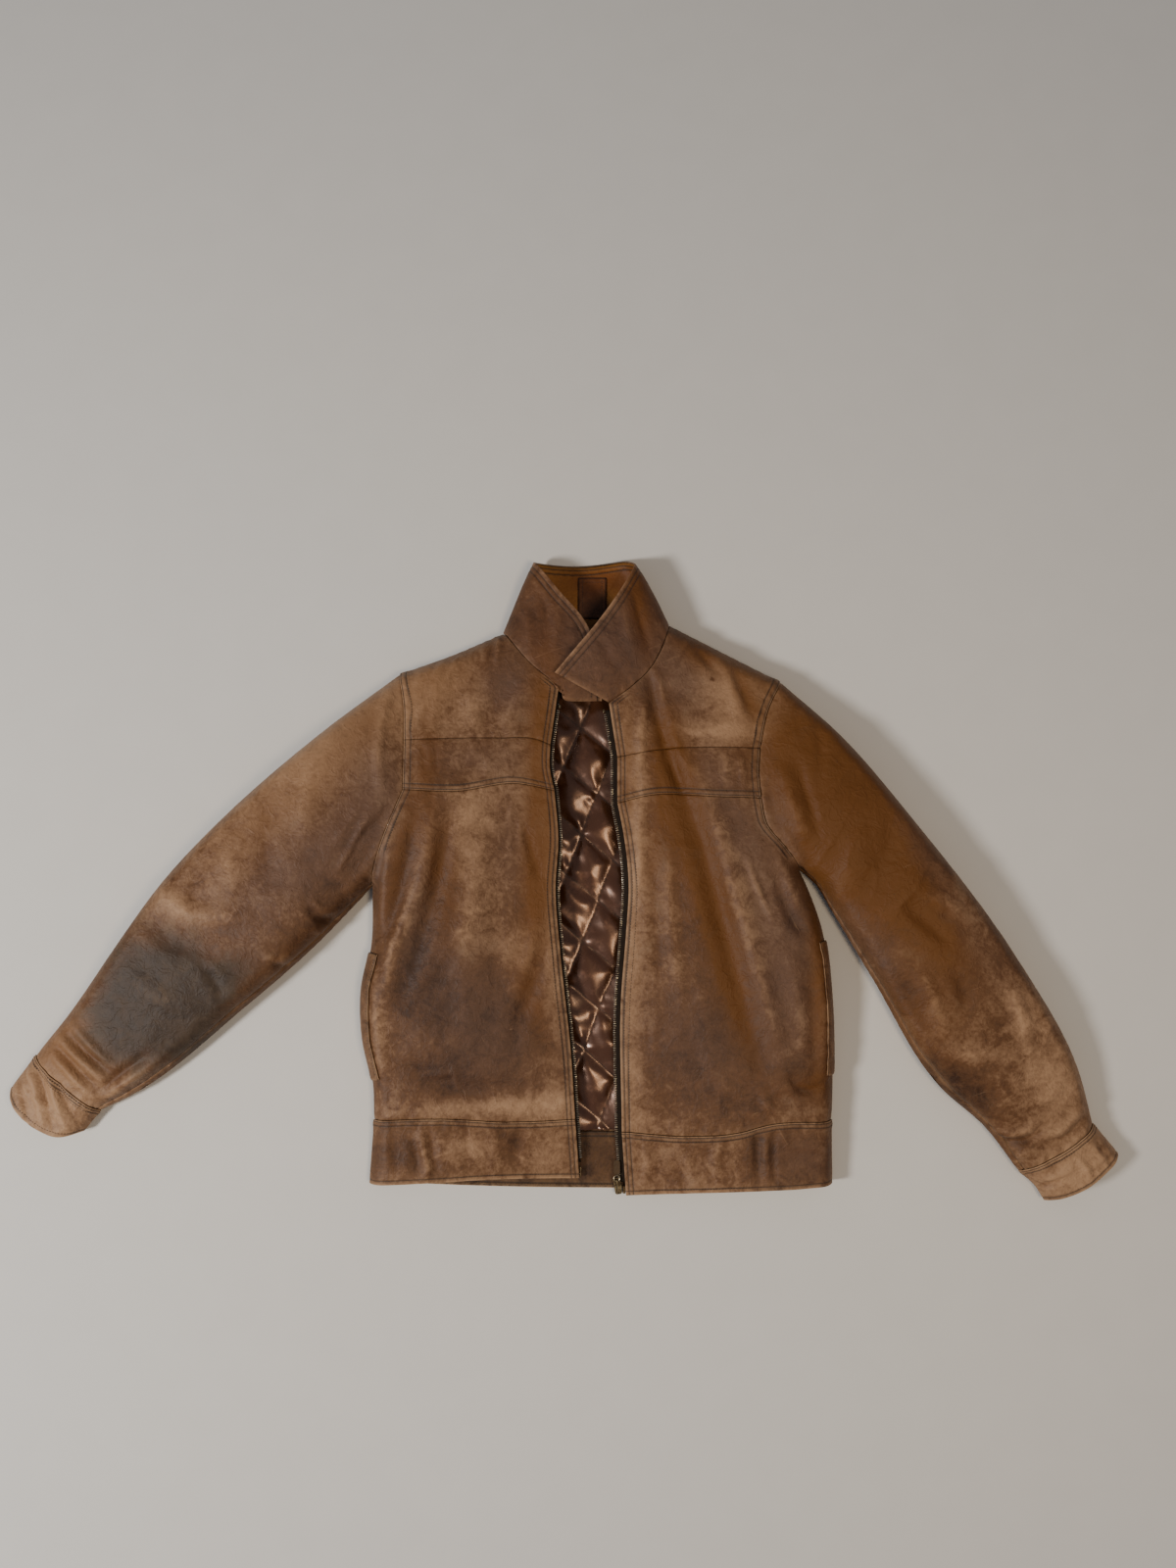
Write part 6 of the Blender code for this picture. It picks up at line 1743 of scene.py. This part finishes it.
def add_back():
    panel, band = back_pieces()
    add_cloth("back_panel", "back", panel, brown, lining_satin, BACK_WALL)
    add_cloth("back_waistband", "waistband_back", band, brown, facing_leather, BACK_BAND_WALL)
    rows = on_both_faces(all_stitch_lines(band, 0, 1), BACK_BAND_WALL)
    add_thread("back_waistband_stitches", rows, seam_thread)
    lining = lining_cloth()
    add_cloth(
        "quilted_lining", "lining_back", lining, lining_satin, lining_satin, LINING_WALL
    )
    add_thread("quilting_stitches", quilt_runs(lining), quilt_thread, pitch=0.0030, length=0.0023, radius=0.0002)


def add_collar():
    collar = collar_cloth()
    add_cloth(
        "collar_leather", "collar", collar, collar_leather, collar_inside_warm_lit, COLLAR_WALL,
    )
    rows = on_both_faces(collar.stitch_lines(1, start=0.004, end=0.004), COLLAR_WALL)
    add_thread("collar_stitches", rows, seam_thread)
    label = neck_patch_cloth(collar)
    add_cloth(
        "neck_patch_leather", "neck_patch", label, patch_leather, patch_leather, PATCH_WALL,
    )
    add_thread("neck_patch_stitches", all_stitch_lines(label, 0, 1, 2, 3), seam_thread)


def add_trim(side):
    welt = welt_cloth(side)
    name, rests_on = f"{side}_pocket", [f"{side}_front"]
    add_cloth(f"{name}_welt", f"pocket_welt_{side}", welt, brown, facing_leather, WELT_WALL)
    add_thread(f"{name}_stitches", welt.stitch_lines(3, start=0.003, end=0.003), seam_thread)
    tape = tape_cloth(side)
    add_cloth(f"{side}_tape", f"zip_tape_{side}", tape, tape_weave, tape_weave, TAPE_WALL)
    add_teeth(side, tooth_metal)


def finish_metal():
    """The zip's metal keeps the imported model's shapes."""
    finishes = {
        "zip_slider": brass, "zip_pull_ring": ring_brass, "zip_box": dull_brass, "zip_pin": dull_brass,
        "zip_stop_left": brass, "zip_stop_right": brass, "zip_pull_tab": tab_leather,
    }
    for node, finish in finishes.items():
        for held in frame["nodes"][node].material_slots:
            held.material = finish


for side in SIDES:
    add_front(side)
    add_sleeve(side)
    add_trim(side)
add_back()
add_collar()
finish_metal()

# ------------------------------------------------------------------------------------------------- studio
FLOOR_SIZE, FLOOR_HEIGHT = 8.0, -0.0005
LIGHTS = [
    # name, place, what it points at, size, power in watts, colour
    ("key", (-1.95, -0.65, 1.85), (0.0, 0.0, 0.0), 0.50, 64.0, (1.0, 0.97, 0.93)),
    ("fill", (0.62, -0.35, 1.90), (0.0, -0.05, 0.0), 0.55, 14.0, (1.0, 0.78, 0.52)),
]
SKY_COLOUR, SKY_STRENGTH = (0.86, 0.90, 1.0, 1.0), 0.26
CAMERA_PLACE, CAMERA_TILT = (0.030, -0.0104, 1.4445), math.radians(5.0)
LENS_MM, SENSOR_MM = 27.05, 36.0


def link(name, data, place, rotation):
    made = bpy.data.objects.new(name, data)
    made.location, made.rotation_euler = place, rotation
    bpy.context.scene.collection.objects.link(made)
    return made


def add_floor():
    bpy.ops.mesh.primitive_plane_add(size=FLOOR_SIZE, location=(0, 0, FLOOR_HEIGHT))
    floor = bpy.context.object
    floor.name = "floor"
    floor.data.materials.append(pale_floor())


def add_light(name, place, target, size, power, colour):
    data = bpy.data.lights.new(name, "AREA")
    data.shape, data.size, data.energy, data.color = "DISK", size, power, colour
    link(name, data, place, (Vector(target) - Vector(place)).to_track_quat("-Z", "Y").to_euler())


def add_sky():
    world = bpy.data.worlds.new("studio")
    bpy.context.scene.world = world
    world.use_nodes = True
    sky = world.node_tree.nodes["Background"].inputs
    sky["Color"].default_value, sky["Strength"].default_value = SKY_COLOUR, SKY_STRENGTH


def add_camera():
    data = bpy.data.cameras.new("camera")
    data.lens, data.sensor_width = LENS_MM, SENSOR_MM
    bpy.context.scene.camera = link("camera", data, CAMERA_PLACE, (CAMERA_TILT, 0.0, 0.0))


add_floor()
for light in LIGHTS:
    add_light(*light)
add_sky()
add_camera()
